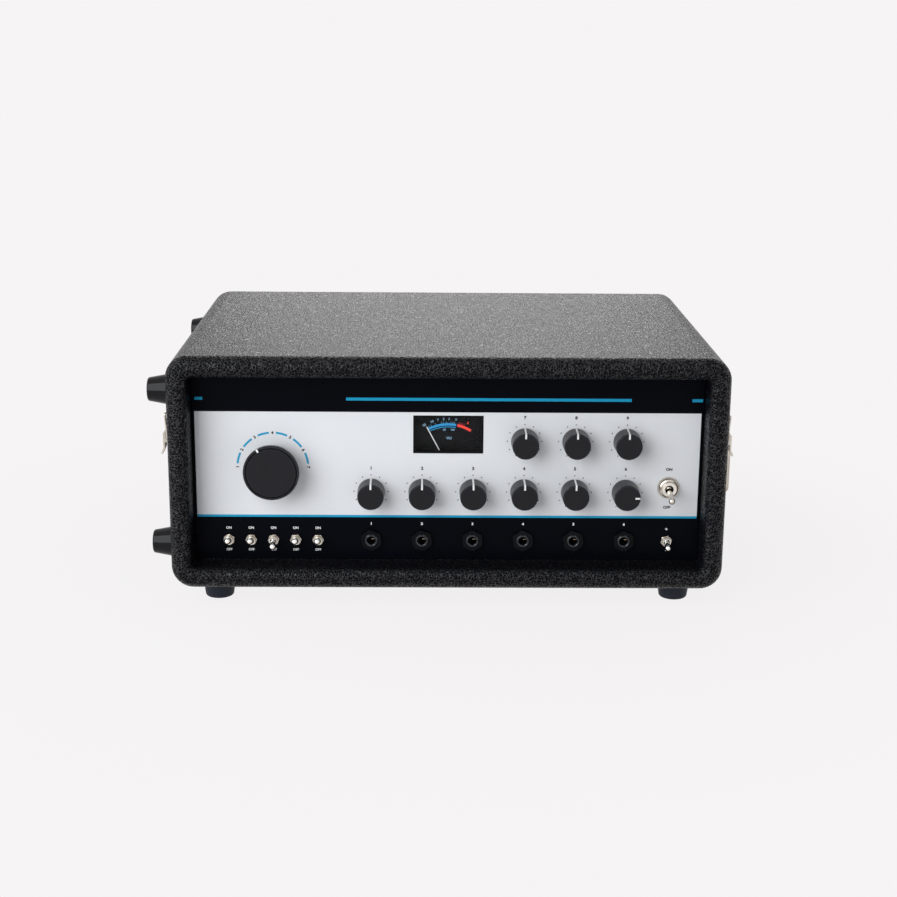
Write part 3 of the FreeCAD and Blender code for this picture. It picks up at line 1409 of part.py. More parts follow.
def rounded_path(corners, shift):
    """Closed wire through the corners, each rounded, moved sideways by the shift."""
    count = len(corners)
    pieces = []
    ends = []
    for i in range(count):
        x, y, r = corners[i]
        here = Vec(x, y, 0)
        before = Vec(corners[i - 1][0], corners[i - 1][1], 0)
        after = Vec(corners[(i + 1) % count][0], corners[(i + 1) % count][1], 0)
        d_in = (here - before).normalize()
        d_out = (after - here).normalize()
        turn = math.atan2(d_in.x * d_out.y - d_in.y * d_out.x, d_in.dot(d_out))
        trim = r * math.tan(abs(turn) / 2.0)
        side = 1.0 if turn > 0 else -1.0
        left_in = Vec(-d_in.y, d_in.x, 0)
        left_out = Vec(-d_out.y, d_out.x, 0)
        centre = here - d_in * trim + left_in * (side * r)
        radius = r - side * shift
        middle = (left_in + left_out).normalize() * (-side * radius)
        start = centre - left_in * (side * radius)
        end = centre - left_out * (side * radius)
        pieces.append(Part.Arc(start, centre + middle, end).toShape())
        ends.append((start, end))
    edges = []
    for i in range(count):
        edges.append(pieces[i])
        edges.append(Part.LineSegment(ends[i][1], ends[(i + 1) % count][0]).toShape())
    return Part.Wire(edges)


def tape_loop():
    """Endless tape: past the heads and the capstan, then folded loosely in the chamber."""
    corners = tape_corners()
    half = TAPE_T / 2.0
    ring = Part.Face([rounded_path(corners, -half), rounded_path(corners, half)])
    ring.validate()
    ribbon = ring.extrude(Vec(0, 0, TAPE_W))
    ribbon.translate(Vec(0, 0, TAPE_Z - TAPE_W / 2.0))
    return ribbon


def tape_heads():
    """Heads in a row behind the tape, each with a rounded nose on a foot."""
    heads = []
    front = tape_y() + TAPE_T / 2.0 + TAPE_GAP
    for i in range(HEAD_COUNT):
        x = HEAD_X0 + i * HEAD_PITCH
        can = box(x - HEAD_W / 2, x + HEAD_W / 2, front, front + HEAD_D, DECK_TOP + 2, DECK_TOP + HEAD_H)
        nose = rod_z(x, front + HEAD_NOSE_R, DECK_TOP, DECK_TOP + HEAD_H + 1, HEAD_NOSE_R)
        back = box(x - HEAD_W, x + HEAD_W, front + HEAD_NOSE_R, front + HEAD_D, DECK_TOP,
                   DECK_TOP + HEAD_H + 1)
        can = can.common(nose.fuse(back))
        foot = box(x - HEAD_W / 2 - 4, x + HEAD_W / 2 + 4, front + 4, front + HEAD_D + 2, DECK_TOP,
                   DECK_TOP + 2)
        heads.append(fuse_all([can, foot]))
    return heads


def tape_guides():
    """Flanged posts where the tape turns."""
    ring = guide_ring()
    y_run = tape_y()
    last = y_run + FOLD_FIRST + (fold_rows() - 1) * FOLD_PITCH
    spots = [(-GUIDE_END_X + ring, y_run + ring), (GUIDE_END_X - ring, y_run + ring),
             (-GUIDE_END_X + ring, last - ring)]
    posts = []
    half = TAPE_W / 2.0 + GUIDE_PLAY
    for x, y in spots:
        pieces = [rod_z(x, y, DECK_TOP, TAPE_Z + half + GUIDE_FLANGE_T, GUIDE_R)]
        pieces.append(rod_z(x, y, TAPE_Z + half, TAPE_Z + half + GUIDE_FLANGE_T, GUIDE_FLANGE_R))
        pieces.append(rod_z(x, y, TAPE_Z - half - GUIDE_FLANGE_T, TAPE_Z - half, GUIDE_FLANGE_R))
        posts.append(fuse_all(pieces))
    return posts


def rear_plate():
    """Cover plate over the cut-out in the back board, with the inlet's hole."""
    half_w = REAR_CUT_W / 2.0 + REAR_PLATE_LAP
    half_h = REAR_CUT_H / 2.0 + REAR_PLATE_LAP
    z = BASE_Z + REAR_H
    plate = rounded_block(REAR_X - half_w, REAR_X + half_w, BACK_Y, BACK_Y + REAR_PLATE_T, z - half_h,
                          z + half_h, 1, 3.0)
    x = REAR_X + INLET_SHIFT
    hole = box(x - INLET_W / 2, x + INLET_W / 2, BACK_Y - 1, BACK_Y + REAR_PLATE_T + 1, z - INLET_BODY_H / 2,
               z + INLET_BODY_H / 2)
    plate = plate.cut(hole)
    for sx, sz in rear_plate_corners():
        plate = plate.cut(screw_hole(Vec(sx, BACK_Y + REAR_PLATE_T, sz), Vec(0, 1, 0)))
    return plate


def mains_inlet():
    """Three-blade appliance inlet set through the rear plate."""
    x = REAR_X + INLET_SHIFT
    z = BASE_Z + REAR_H
    face = BACK_Y + REAR_PLATE_T
    lap = INLET_FLANGE_LAP
    fit = METER_FIT
    body = box(x - INLET_W / 2 + fit, x + INLET_W / 2 - fit, face - INLET_DEPTH, face,
               z - INLET_BODY_H / 2 + fit, z + INLET_BODY_H / 2 - fit)
    flange = rounded_block(x - INLET_W / 2 - lap, x + INLET_W / 2 + lap, face, face + INLET_FLANGE_T,
                           z - INLET_BODY_H / 2 - lap, z + INLET_BODY_H / 2 + lap, 1, 2.0)
    mouth = face + INLET_FLANGE_T
    cavity = rounded_block(x - SOCKET_W / 2, x + SOCKET_W / 2, mouth - SOCKET_DEPTH, mouth + 1,
                           z - SOCKET_H / 2, z + SOCKET_H / 2, 1, 2.0)
    shell = body.fuse(flange).cut(cavity)
    floor = mouth - SOCKET_DEPTH
    blades = []
    for i in (-1, 0, 1):
        bz = z + (1.5 if i == 0 else -1.5)
        bx = x + i * BLADE_PITCH
        blades.append(box(bx - BLADE_W / 2, bx + BLADE_W / 2, floor - 1, floor + BLADE_L, bz - BLADE_H / 2,
                          bz + BLADE_H / 2))
    return fuse_all([shell] + blades)


def screws():
    """All separate screws of the case's own fittings."""
    found = []
    for x, y in foot_spots():
        found.append(screw(Vec(x, y, BASE_Z - FOOT_H + FOOT_WELL_DEPTH), Vec(0, 0, -1), FOOT_SCREW_L))
    for x in hinge_screw_xs():
        found.append(screw(Vec(x, BACK_Y + HINGE_LEAF_T, hinge_screw_z(-1)), Vec(0, 1, 0)))
    for y, z in latch_screw_spots():
        for side in (-1, 1):
            found.append(screw(Vec(side * (HALF_W + LATCH_PLATE_T), y, z), Vec(side, 0, 0)))
    for y, z in cap_screw_spots():
        found.append(screw(Vec(HALF_W + CAP_T, y, z), Vec(1, 0, 0), CAP_SCREW_L))
    for x, z in rear_plate_corners():
        found.append(screw(Vec(x, BACK_Y + REAR_PLATE_T, z), Vec(0, 1, 0)))
    return found + thumbscrews()


KNOB_NAMES = ["volume_knob", "rate_knob", "depth_knob", "reverb_knob", "speed_knob", "echo_knob", "bass_knob",
              "treble_knob", "repeat_knob"]
TOGGLE_NAMES = ["direct_toggle", "motor_toggle", "overdub_toggle", "echo_toggle", "effect_toggle",
                "level_toggle"]
TOGGLES_UP = [True, True, False, True, True, False]


def main():
    os.makedirs(OUT, exist_ok=True)
    whole = sleeve()
    write("cabinet_shell", [cabinet_shell(whole)])
    write("lid_shell", [lid_shell(whole)])
    write("rubber_feet", rubber_feet())
    write("side_feet_lower", side_feet(SIDE_FOOT_LOW))
    write("side_feet_upper", side_feet(SIDE_FOOT_HIGH))
    write("base_hinge_leaves", hinge_leaves(-1))
    write("lid_hinge_leaves", hinge_leaves(1) + lid_hinge_screws())
    write("latch_plates", both_sides(latch_plate()))
    write("latch_keepers", both_sides(latch_keeper()))
    for side, lever, bail in zip(("left", "right"), both_sides(latch_lever()), both_sides(latch_bail())):
        write(side + "_latch_lever", [lever])
        write(side + "_latch_bail", [bail])
    write("handle_strap", [handle_strap()])
    write("handle_caps", handle_caps())
    write("front_panel", [front_panel()])
    write("selector_knob", selector_knob())
    for name, spot in zip(KNOB_NAMES, knob_spots()):
        write(name, small_knob(spot[0], spot[1]))
    write("potentiometers", potentiometers())
    write("selector_switch", [selector_switch()])
    write("toggle_switch_bodies", toggle_switch_bodies())
    for index, name in enumerate(TOGGLE_NAMES):
        write(name, [small_toggle(index, TOGGLES_UP[index])])
    write("power_toggle", [power_toggle()])
    write("panel_nuts", panel_nuts())
    write("jack_sockets", jack_sockets())
    write("jack_nuts", jack_nuts())
    write("meter_case", meter_case())
    write("meter_lens", [meter_lens()])
    write("meter_needle", [meter_needle()])
    write("chassis", [chassis()])
    write("circuit_board", [circuit_board()])
    write("power_transformer", [power_transformer()])
    write("reverb_tank", [reverb_tank()])
    write("deck_plate", [deck_plate()])
    write("chamber_cover", [chamber_cover()])
    write("tape_heads", tape_heads())
    write("tape_guides", tape_guides())
    write("tape_loop", [tape_loop()])
    write("drive_motor", [drive_motor()])
    write("motor_pulley", [motor_pulley()])
    write("drive_belt", [drive_belt()])
    write("flywheel", [flywheel()])
    write("pinch_arm", [pinch_arm()])
    write("pinch_roller", [pinch_roller()])
    write("rear_plate", [rear_plate()])
    write("mains_inlet", [mains_inlet()])
    write("screws", screws())


main()
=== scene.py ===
"""Finishes, printed scales and studio for a tape echo unit in a covered case.

The rigid pieces come ready made in the frame, in metres, +Z up, with the controls facing -Y.
This file gives each one its surface and adds what is printed or laid on them: the panel's dots,
arcs and numbers, the knobs' pointers, the meter's scale, the contacts in the sockets.
"""

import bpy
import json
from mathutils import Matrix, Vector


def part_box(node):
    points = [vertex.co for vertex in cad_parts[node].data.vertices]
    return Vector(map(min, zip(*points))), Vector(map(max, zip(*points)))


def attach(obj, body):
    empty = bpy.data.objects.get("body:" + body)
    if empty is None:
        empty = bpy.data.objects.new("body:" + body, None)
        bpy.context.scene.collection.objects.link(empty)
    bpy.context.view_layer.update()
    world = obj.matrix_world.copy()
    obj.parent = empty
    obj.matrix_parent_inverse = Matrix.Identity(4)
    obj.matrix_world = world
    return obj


bl_info = {
    "name": "Tape Echo Unit Finishes",
    "version": (1, 0, 0),
    "blender": (4, 5, 0),
    "location": "View3D > Sidebar > Echo Unit",
    "description": "Covering, panel printing, pointers, meter scale and studio for a tape echo unit",
    "category": "Object",
}

import json
import math

import bmesh
import bpy
from bpy.props import FloatProperty, FloatVectorProperty, IntProperty, PointerProperty
from mathutils import Matrix, Vector

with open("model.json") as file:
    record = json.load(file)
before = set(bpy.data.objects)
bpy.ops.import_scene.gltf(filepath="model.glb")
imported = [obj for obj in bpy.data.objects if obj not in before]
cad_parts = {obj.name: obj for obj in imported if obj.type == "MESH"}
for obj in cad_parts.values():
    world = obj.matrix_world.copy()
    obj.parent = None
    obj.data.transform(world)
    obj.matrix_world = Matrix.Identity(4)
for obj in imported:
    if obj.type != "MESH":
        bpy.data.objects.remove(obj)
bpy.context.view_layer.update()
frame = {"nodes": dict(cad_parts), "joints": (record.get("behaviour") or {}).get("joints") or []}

MM = 0.001
JOINTS = {joint["name"]: joint for joint in frame["joints"]}
PANEL_LOW, PANEL_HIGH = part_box("front_panel")
PANEL_FACE = PANEL_LOW.y
SMALL_KNOBS = ("volume_knob", "rate_knob", "depth_knob", "reverb_knob", "speed_knob", "echo_knob",
               "bass_knob", "treble_knob", "repeat_knob")
SWITCHES = ("direct_toggle", "motor_toggle", "overdub_toggle", "echo_toggle", "effect_toggle", "level_toggle")
# How far these knobs stand turned at rest, in degrees clockwise from the top.
REST_TURN = {"echo_knob": 90.0, "selector_knob": -30.0}
# Thickness of a printed layer.
INK = 0.05 * MM
# The mix node's colour sockets, which come after its number and vector ones.
MIX_FIRST = 6
MIX_SECOND = 7
MIX_RESULT = 2
# The usual span of a noise, used to spread it over a wanted range.
FINE_LOW = 0.3
FINE_HIGH = 0.7
DUST = (0.018, 0.018, 0.021)
# How far behind the panel's face the switch bushes are plated.
BUSH_PLATED = 1.0 * MM
DOT_SIDES = 14
# Degrees of a printed arc that one face takes.
ARC_STEP = 2.5


def pivot(joint_name):
    """Where a joint's axis passes, in metres."""
    return Vector(JOINTS[joint_name]["pos_m"])


def settings():
    return bpy.context.scene.echo_unit


class CoveringSettings(bpy.types.PropertyGroup):
    """Grained vinyl on the boards."""
    colour: FloatVectorProperty(name="Colour", description="Base colour of the vinyl", subtype="COLOR",
                                size=3, min=0.0, max=1.0, default=(0.0028, 0.0029, 0.0040))
    grain: FloatProperty(name="Grain", description="Width of one cell of the grain", unit="LENGTH",
                         default=2.0 * MM, min=0.5 * MM, max=10 * MM)
    relief: FloatProperty(name="Relief", description="Height of the grain", unit="LENGTH", default=0.34 * MM,
                          min=0.0, max=2 * MM)
    sheen: FloatProperty(name="Sheen", description="Specular level on the wrinkles", default=0.45, min=0.0,
                         max=1.0)


class PrintSettings(bpy.types.PropertyGroup):
    """Inks and sizes of the panel's printing."""
    white: FloatVectorProperty(name="White field", description="Enamel of the white field", subtype="COLOR",
                               size=3, min=0.0, max=1.0, default=(0.80, 0.81, 0.83))
    black: FloatVectorProperty(name="Black bands", description="Enamel of the black bands", subtype="COLOR",
                               size=3, min=0.0, max=1.0, default=(0.0018, 0.0022, 0.0042))
    blue: FloatVectorProperty(name="Blue", description="Blue of the stripes and arcs", subtype="COLOR",
                              size=3, min=0.0, max=1.0, default=(0.018, 0.33, 0.56))
    red: FloatVectorProperty(name="Red", description="Red of the meter's arc", subtype="COLOR", size=3,
                             min=0.0, max=1.0, default=(0.92, 0.07, 0.05))
    ink: FloatVectorProperty(name="Dark ink", description="Dots and numbers on the white field",
                             subtype="COLOR", size=3, min=0.0, max=1.0, default=(0.006, 0.006, 0.008))
    dot_radius: FloatProperty(name="Dot radius", description="Radius of a scale dot", unit="LENGTH",
                              default=0.46 * MM, min=0.1 * MM, max=2 * MM)
    dot_ring: FloatProperty(name="Dot ring", description="Radius of the ring of dots round a knob",
                            unit="LENGTH", default=13.1 * MM, min=5 * MM, max=30 * MM)
    dots: IntProperty(name="Dots", description="Dots round each small knob", default=11, min=2, max=60)
    arc_ring: FloatProperty(name="Arc ring", description="Radius of the selector's blue arcs", unit="LENGTH",
                            default=26.9 * MM, min=10 * MM, max=60 * MM)
    arc_width: FloatProperty(name="Arc width", description="Width of the selector's blue arcs", unit="LENGTH",
                             default=1.6 * MM, min=0.2 * MM, max=4 * MM)


class PointerSettings(bpy.types.PropertyGroup):
    """White lines on the knobs."""
    colour: FloatVectorProperty(name="Colour", description="Paint of the pointers", subtype="COLOR", size=3,
                                min=0.0, max=1.0, default=(0.82, 0.82, 0.80))
    width: FloatProperty(name="Width", description="Width of a small knob's line", unit="LENGTH",
                         default=1.35 * MM, min=0.3 * MM, max=5 * MM)
    reach: FloatProperty(name="Reach", description="Share of the face's radius left bare inside the line",
                         subtype="FACTOR", default=0.60, min=0.0, max=1.0)


class StudioSettings(bpy.types.PropertyGroup):
    """Camera, lights and floor."""
    sensor: FloatProperty(name="Sensor", description="Width of the camera's sensor in millimetres",
                          default=36.0, min=5.0, max=100.0)
    lens: FloatProperty(name="Lens", description="Focal length in millimetres", default=66.11, min=10.0,
                        max=300.0)
    eye: FloatVectorProperty(name="Eye", description="Place of the camera", subtype="TRANSLATION", size=3,
                             default=(-0.0185, -1.33695, 0.442))
    yaw: FloatProperty(name="Yaw", description="Turn of the camera to the left of +Y", subtype="ANGLE",
                       default=math.radians(-0.89))
    pitch: FloatProperty(name="Pitch", description="Downward tilt of the camera", subtype="ANGLE",
                         default=math.radians(14.89))
    roll: FloatProperty(name="Roll", description="Roll of the camera", subtype="ANGLE",
                        default=math.radians(0.49))
    backdrop: FloatVectorProperty(name="Backdrop", description="Colour of floor and background",
                                  subtype="COLOR", size=3, min=0.0, max=1.0, default=(0.921, 0.905, 0.913))
    dome: FloatProperty(name="Dome", description="Strength of the even light from all round", default=0.29,
                        min=0.0, max=5.0)
    key: FloatProperty(name="Key", description="Power of the light at the upper left", unit="POWER",
                       default=26.5, min=0.0, max=500.0)
    top: FloatProperty(name="Top", description="Power of the light behind and above", unit="POWER",
                       default=18.3, min=0.0, max=500.0)


class EchoUnitSettings(bpy.types.PropertyGroup):
    """All settings of the unit."""
    covering: PointerProperty(type=CoveringSettings, name="Covering", description="Grained vinyl")
    printing: PointerProperty(type=PrintSettings, name="Printing", description="Panel inks")
    pointers: PointerProperty(type=PointerSettings, name="Pointers", description="Knob lines")
    studio: PointerProperty(type=StudioSettings, name="Studio", description="Camera, lights and floor")


def add_node(tree, kind, inputs=None, **values):
    """A node with its settings, and its inputs linked or set."""
    made = tree.nodes.new(kind)
    for key, value in values.items():
        setattr(made, key, value)
    for key, value in (inputs or {}).items():
        if isinstance(value, bpy.types.NodeSocket):
            tree.links.new(value, made.inputs[key])
        else:
            made.inputs[key].default_value = value
    return made


def maths(tree, operation, first, second=0.0):
    return add_node(tree, "ShaderNodeMath", {0: first, 1: second}, operation=operation).outputs[0]


def colour_mix(tree, amount, first, second):
    mix = add_node(tree, "ShaderNodeMix", {"Factor": amount}, data_type="RGBA")
    for socket, value in ((mix.inputs[MIX_FIRST], first), (mix.inputs[MIX_SECOND], second)):
        if isinstance(value, bpy.types.NodeSocket):
            tree.links.new(value, socket)
        else:
            socket.default_value = (*value[:3], 1.0)
    return mix.outputs[MIX_RESULT]


def remap(tree, value, low, high, new_low=0.0, new_high=1.0):
    return add_node(tree, "ShaderNodeMapRange", {"Value": value, "From Min": low, "From Max": high,
                                                 "To Min": new_low, "To Max": new_high}).outputs["Result"]


def noise(tree, place, scale, detail, rough=0.5):
    return add_node(tree, "ShaderNodeTexNoise", {"Vector": place, "Scale": scale, "Detail": detail,
                                                 "Roughness": rough})


def new_group(name, inputs, outputs):
    """An empty node group with its sockets; returns it with its two end nodes."""
    tree = bpy.data.node_groups.new(name, "ShaderNodeTree")
    for label, kind, value in inputs:
        socket = tree.interface.new_socket(name=label, in_out="INPUT", socket_type=kind)
        if value is not None:
            socket.default_value = value
    for label, kind in outputs:
        tree.interface.new_socket(name=label, in_out="OUTPUT", socket_type=kind)
    return tree, tree.nodes.new("NodeGroupInput"), tree.nodes.new("NodeGroupOutput")


def grain_group():
    """Grained vinyl: a raised net of wrinkles round small hollows, broken up by noise."""
    tree, ins, outs = new_group("pebbled_grain", [("Place", "NodeSocketVector", None),
                                                  ("Density", "NodeSocketFloat", 380.0)],
                                [("Height", "NodeSocketFloat"), ("Crease", "NodeSocketFloat")])
    flat = ins.outputs["Place"]
    bend = noise(tree, flat, 260.0, 2.0)
    push = add_node(tree, "ShaderNodeVectorMath", {0: bend.outputs["Color"], 1: (0.5, 0.5, 0.5)},
                    operation="SUBTRACT")
    push = add_node(tree, "ShaderNodeVectorMath", {0: push.outputs[0], "Scale": 0.0014}, operation="SCALE")
    bent = add_node(tree, "ShaderNodeVectorMath", {0: flat, 1: push.outputs[0]}, operation="ADD").outputs[0]
    cells = add_node(tree, "ShaderNodeTexVoronoi", {"Vector": bent, "Scale": ins.outputs["Density"]},
                     feature="DISTANCE_TO_EDGE")
    ridge = add_node(tree, "ShaderNodeMapRange", {"Value": cells.outputs["Distance"], "From Max": 0.28,
                                                  "To Min": 1.0, "To Max": 0.0},
                     interpolation_type="SMOOTHSTEP").outputs["Result"]
    pores = noise(tree, flat, 1100.0, 3.0, 0.6)
    breaks = noise(tree, flat, 520.0, 1.0)
    strong = remap(tree, breaks.outputs["Fac"], 0.35, 0.62, 0.45, 1.0)
    raised = maths(tree, "MULTIPLY", ridge, strong)
    height = maths(tree, "ADD", raised, maths(tree, "MULTIPLY", pores.outputs["Fac"], 0.2))
    tree.links.new(height, outs.inputs["Height"])
    tree.links.new(raised, outs.inputs["Crease"])
    return tree


def smudge_group():
    """Slow and fine unevenness for roughness and tint."""
    tree, ins, outs = new_group("smudges", [("Place", "NodeSocketVector", None),
                                            ("Scale", "NodeSocketFloat", 30.0)],
                                [("Broad", "NodeSocketFloat"), ("Fine", "NodeSocketFloat")])
    broad = noise(tree, ins.outputs["Place"], ins.outputs["Scale"], 3.0)
    dense = maths(tree, "MULTIPLY", ins.outputs["Scale"], 22.0)
    fine = noise(tree, ins.outputs["Place"], dense, 4.0, 0.65)
    tree.links.new(broad.outputs["Fac"], outs.inputs["Broad"])
    tree.links.new(fine.outputs["Fac"], outs.inputs["Fine"])
    return tree


def edge_group():
    """Mask of the outer edges, for wear there and for painted edge highlights."""
    tree, ins, outs = new_group("edge_wear_and_highlight", [("Width", "NodeSocketFloat", 0.0006)],
                                [("Mask", "NodeSocketFloat")])
    bevel = add_node(tree, "ShaderNodeBevel", {"Radius": ins.outputs["Width"]}, samples=4)
    plain = tree.nodes.new("ShaderNodeNewGeometry")
    dot = add_node(tree, "ShaderNodeVectorMath", {0: bevel.outputs[0], 1: plain.outputs["Normal"]},
                   operation="DOT_PRODUCT")
    mask = remap(tree, dot.outputs["Value"], 0.995, 0.90)
    tree.links.new(mask, outs.inputs["Mask"])
    return tree


def crevice_group():
    """1 on open surfaces, falling to 0 in grooves and corners; used to paint shade there and to dull the
    gloss.
    """
    tree, ins, outs = new_group("crevices", [("Reach", "NodeSocketFloat", 0.0015)],
                                [("Open", "NodeSocketFloat")])
    shade = add_node(tree, "ShaderNodeAmbientOcclusion", {"Distance": ins.outputs["Reach"]}, samples=6)
    tree.links.new(remap(tree, shade.outputs["AO"], 0.35, 0.92), outs.inputs["Open"])
    return tree


def painted_light_group():
    """Mask for painted light and shade: 1 where a surface looks to the lit upper left and 0 where it looks
    down and to the right.
    """
    tree, ins, outs = new_group("painted_light_side", [("Low", "NodeSocketFloat", -0.5)], [("Lit", "NodeSocketFloat")])
    facing = tree.nodes.new("ShaderNodeNewGeometry").outputs["Normal"]
    dot = add_node(tree, "ShaderNodeVectorMath", {0: facing, 1: (-0.5, -0.3, 0.8)}, operation="DOT_PRODUCT")
    tree.links.new(remap(tree, dot.outputs["Value"], ins.outputs["Low"], 0.7), outs.inputs["Lit"])
    return tree


def shared_group(name):
    """The shared node group of that name, made when it is first asked for."""
    makers = {"pebbled_grain": grain_group, "smudges": smudge_group, "edge_wear_and_highlight": edge_group,
              "crevices": crevice_group, "painted_light_side": painted_light_group}
    return bpy.data.node_groups.get(name) or makers[name]()


def use_group(tree, name, inputs):
    return add_node(tree, "ShaderNodeGroup", inputs, node_tree=shared_group(name))


def start_material(name, **values):
    """A material with its surface shader; plain values go to the shader's own sockets."""
    material = bpy.data.materials.new(name)
    material.use_nodes = True
    tree = material.node_tree
    shader = tree.nodes["Principled BSDF"]
    for key, value in values.items():
        socket = shader.inputs[key.replace("_", " ")]
        socket.default_value = (*value, 1.0) if isinstance(value, tuple) and len(value) == 3 else value
    place = tree.nodes.new("ShaderNodeTexCoord").outputs["Object"]
    return material, tree, shader, place


def relief(tree, shader, height, depth, strength=1.0):
    """Raise and lower the look of the surface by a height map."""
    bump = add_node(tree, "ShaderNodeBump", {"Height": height, "Distance": depth, "Strength": strength})
    tree.links.new(bump.outputs[0], shader.inputs["Normal"])


def uneven_roughness(tree, shader, smudge, low, high):
    """Roughness that wanders between two values."""
    rough = remap(tree, smudge.outputs["Fine"], FINE_LOW, FINE_HIGH, low, high)
    tree.links.new(rough, shader.inputs["Roughness"])


def covering_material():
    """Black grained vinyl glued over the boards, with painted highlights on the raised wrinkles."""
    look = settings().covering
    material, tree, shader, place = start_material("grained_vinyl")
    grain = use_group(tree, "pebbled_grain", {"Place": place, "Density": 1.0 / look.grain})
    smudge = use_group(tree, "smudges", {"Place": place, "Scale": 14.0})
    ridge = grain.outputs["Crease"]
    # painted highlight: the raised net of wrinkles lighter than the hollows
    ridge_highlight = tuple(c * 1.6 + 0.001 for c in look.colour)
    tint = colour_mix(tree, ridge, tuple(look.colour), ridge_highlight)
    dusty = remap(tree, smudge.outputs["Broad"], 0.45, 0.75, 0.0, 0.08)
    tree.links.new(colour_mix(tree, dusty, tint, DUST), shader.inputs["Base Color"])
    tree.links.new(remap(tree, ridge, 0.3, 0.9, 0.02, look.sheen), shader.inputs["Specular IOR Level"])
    rough = remap(tree, smudge.outputs["Fine"], FINE_LOW, FINE_HIGH, 0.30, 0.38)
    rough = maths(tree, "SUBTRACT", rough, maths(tree, "MULTIPLY", ridge, 0.1))
    tree.links.new(rough, shader.inputs["Roughness"])
    relief(tree, shader, grain.outputs["Height"], look.relief)
    return material


def band_mask(tree, value, low, high):
    """1 between two limits and 0 outside."""
    above = maths(tree, "GREATER_THAN", value, low)
    below = maths(tree, "LESS_THAN", value, high)
    return maths(tree, "MULTIPLY", above, below)


# Edges of the printed fields: across from the middle of the panel, and up from the floor.
WHITE_HALF = 191.8 * MM
WHITE_BASE = 67.2 * MM
WHITE_TOP = 148.5 * MM
STRIPE_BASE = 65.4 * MM
TITLE_LINE_Z = 158.5 * MM
TITLE_LINE_HALF = 1.15 * MM
# Start and end of each piece of the title line, in millimetres from the middle.
TITLE_DASHES = ((-191.3, -185.3), (-77.2, 138.4), (184.4, 192.4))


def panel_material():
    """Enamelled plate: white field, black bands, blue stripe and title line."""
    inks = settings().printing
    material, tree, shader, place = start_material("panel_enamel", Specular_IOR_Level=0.03)
    axes = add_node(tree, "ShaderNodeSeparateXYZ", {0: place})
    x = axes.outputs["X"]
    z = axes.outputs["Z"]
    inside = band_mask(tree, x, -WHITE_HALF, WHITE_HALF)
    white = maths(tree, "MULTIPLY", inside, band_mask(tree, z, WHITE_BASE, WHITE_TOP))
    blue = maths(tree, "MULTIPLY", inside, band_mask(tree, z, STRIPE_BASE, WHITE_BASE))
    line = band_mask(tree, z, TITLE_LINE_Z - TITLE_LINE_HALF, TITLE_LINE_Z + TITLE_LINE_HALF)
    for start, end in TITLE_DASHES:
        dash = maths(tree, "MULTIPLY", line, band_mask(tree, x, start * MM, end * MM))
        blue = maths(tree, "MAXIMUM", blue, dash)
    smudge = use_group(tree, "smudges", {"Place": place, "Scale": 9.0})
    tone = remap(tree, smudge.outputs["Broad"], 0.35, 0.65, 0.0, 0.6)
    paint = colour_mix(tree, tone, tuple(inks.white), tuple(c * 0.965 for c in inks.white))
    colour = colour_mix(tree, white, tuple(inks.black), paint)
    colour = colour_mix(tree, blue, colour, tuple(inks.blue))
    tree.links.new(colour, shader.inputs["Base Color"])
    uneven_roughness(tree, shader, smudge, 0.30, 0.38)
    peel = noise(tree, place, 900.0, 1.0)
    relief(tree, shader, peel.outputs["Fac"], 0.01 * MM, 0.4)
    return material


def print_material(name, colour):
    """Screen ink with a slightly uneven edge to its gloss."""
    material, tree, shader, place = start_material(name, Specular_IOR_Level=0.15)
    smudge = use_group(tree, "smudges", {"Place": place, "Scale": 120.0})
    thin = tuple(min(1.0, c * 1.12 + 0.004) for c in colour)
    tree.links.new(colour_mix(tree, remap(tree, smudge.outputs["Fine"], 0.4, 0.7), tuple(colour), thin),
                   shader.inputs["Base Color"])
    tree.links.new(remap(tree, smudge.outputs["Broad"], 0.3, 0.7, 0.38, 0.5), shader.inputs["Roughness"])
    return material


def knob_material():
    """Satin moulded plastic, with painted highlights on its edges and painted shade in its grooves."""
    material, tree, shader, place = start_material("knob_satin")
    smudge = use_group(tree, "smudges", {"Place": place, "Scale": 60.0})
    edges = use_group(tree, "edge_wear_and_highlight", {"Width": 0.5 * MM})
    open_air = use_group(tree, "crevices", {"Reach": 1.6 * MM}).outputs["Open"]
    tree.links.new(maths(tree, "MULTIPLY", open_air, 0.20), shader.inputs["Specular IOR Level"])
    base = colour_mix(tree, smudge.outputs["Broad"], (0.006, 0.006, 0.008), (0.010, 0.010, 0.013))
    # painted shade: near black in grooves and corners
    base = colour_mix(tree, open_air, (0.0015, 0.0015, 0.002), base)
    # painted highlight along the outer edges
    edge_highlight = maths(tree, "MULTIPLY", edges.outputs["Mask"], 0.7)
    tree.links.new(colour_mix(tree, edge_highlight, base, (0.09, 0.09, 0.10)), shader.inputs["Base Color"])
    rough = remap(tree, smudge.outputs["Fine"], FINE_LOW, FINE_HIGH, 0.26, 0.36)
    rough = maths(tree, "SUBTRACT", rough, maths(tree, "MULTIPLY", edges.outputs["Mask"], 0.08))
    tree.links.new(rough, shader.inputs["Roughness"])
    fine = noise(tree, place, 5200.0, 2.0)
    relief(tree, shader, fine.outputs["Fac"], 0.02 * MM, 0.5)
    return material


def plastic_material(name, colour, rough_low, rough_high, scale=60.0, pitted=0.01, gloss=0.5):
    """Moulded plastic or rubber with faint flow marks."""
    material, tree, shader, place = start_material(name, Specular_IOR_Level=gloss)
    smudge = use_group(tree, "smudges", {"Place": place, "Scale": scale})
    lighter = tuple(c * 1.5 + 0.002 for c in colour)
    flow = remap(tree, smudge.outputs["Broad"], 0.4, 0.7)
    tree.links.new(colour_mix(tree, flow, colour, lighter), shader.inputs["Base Color"])
    uneven_roughness(tree, shader, smudge, rough_low, rough_high)
    relief(tree, shader, smudge.outputs["Fine"], pitted * MM, 0.6)
    return material


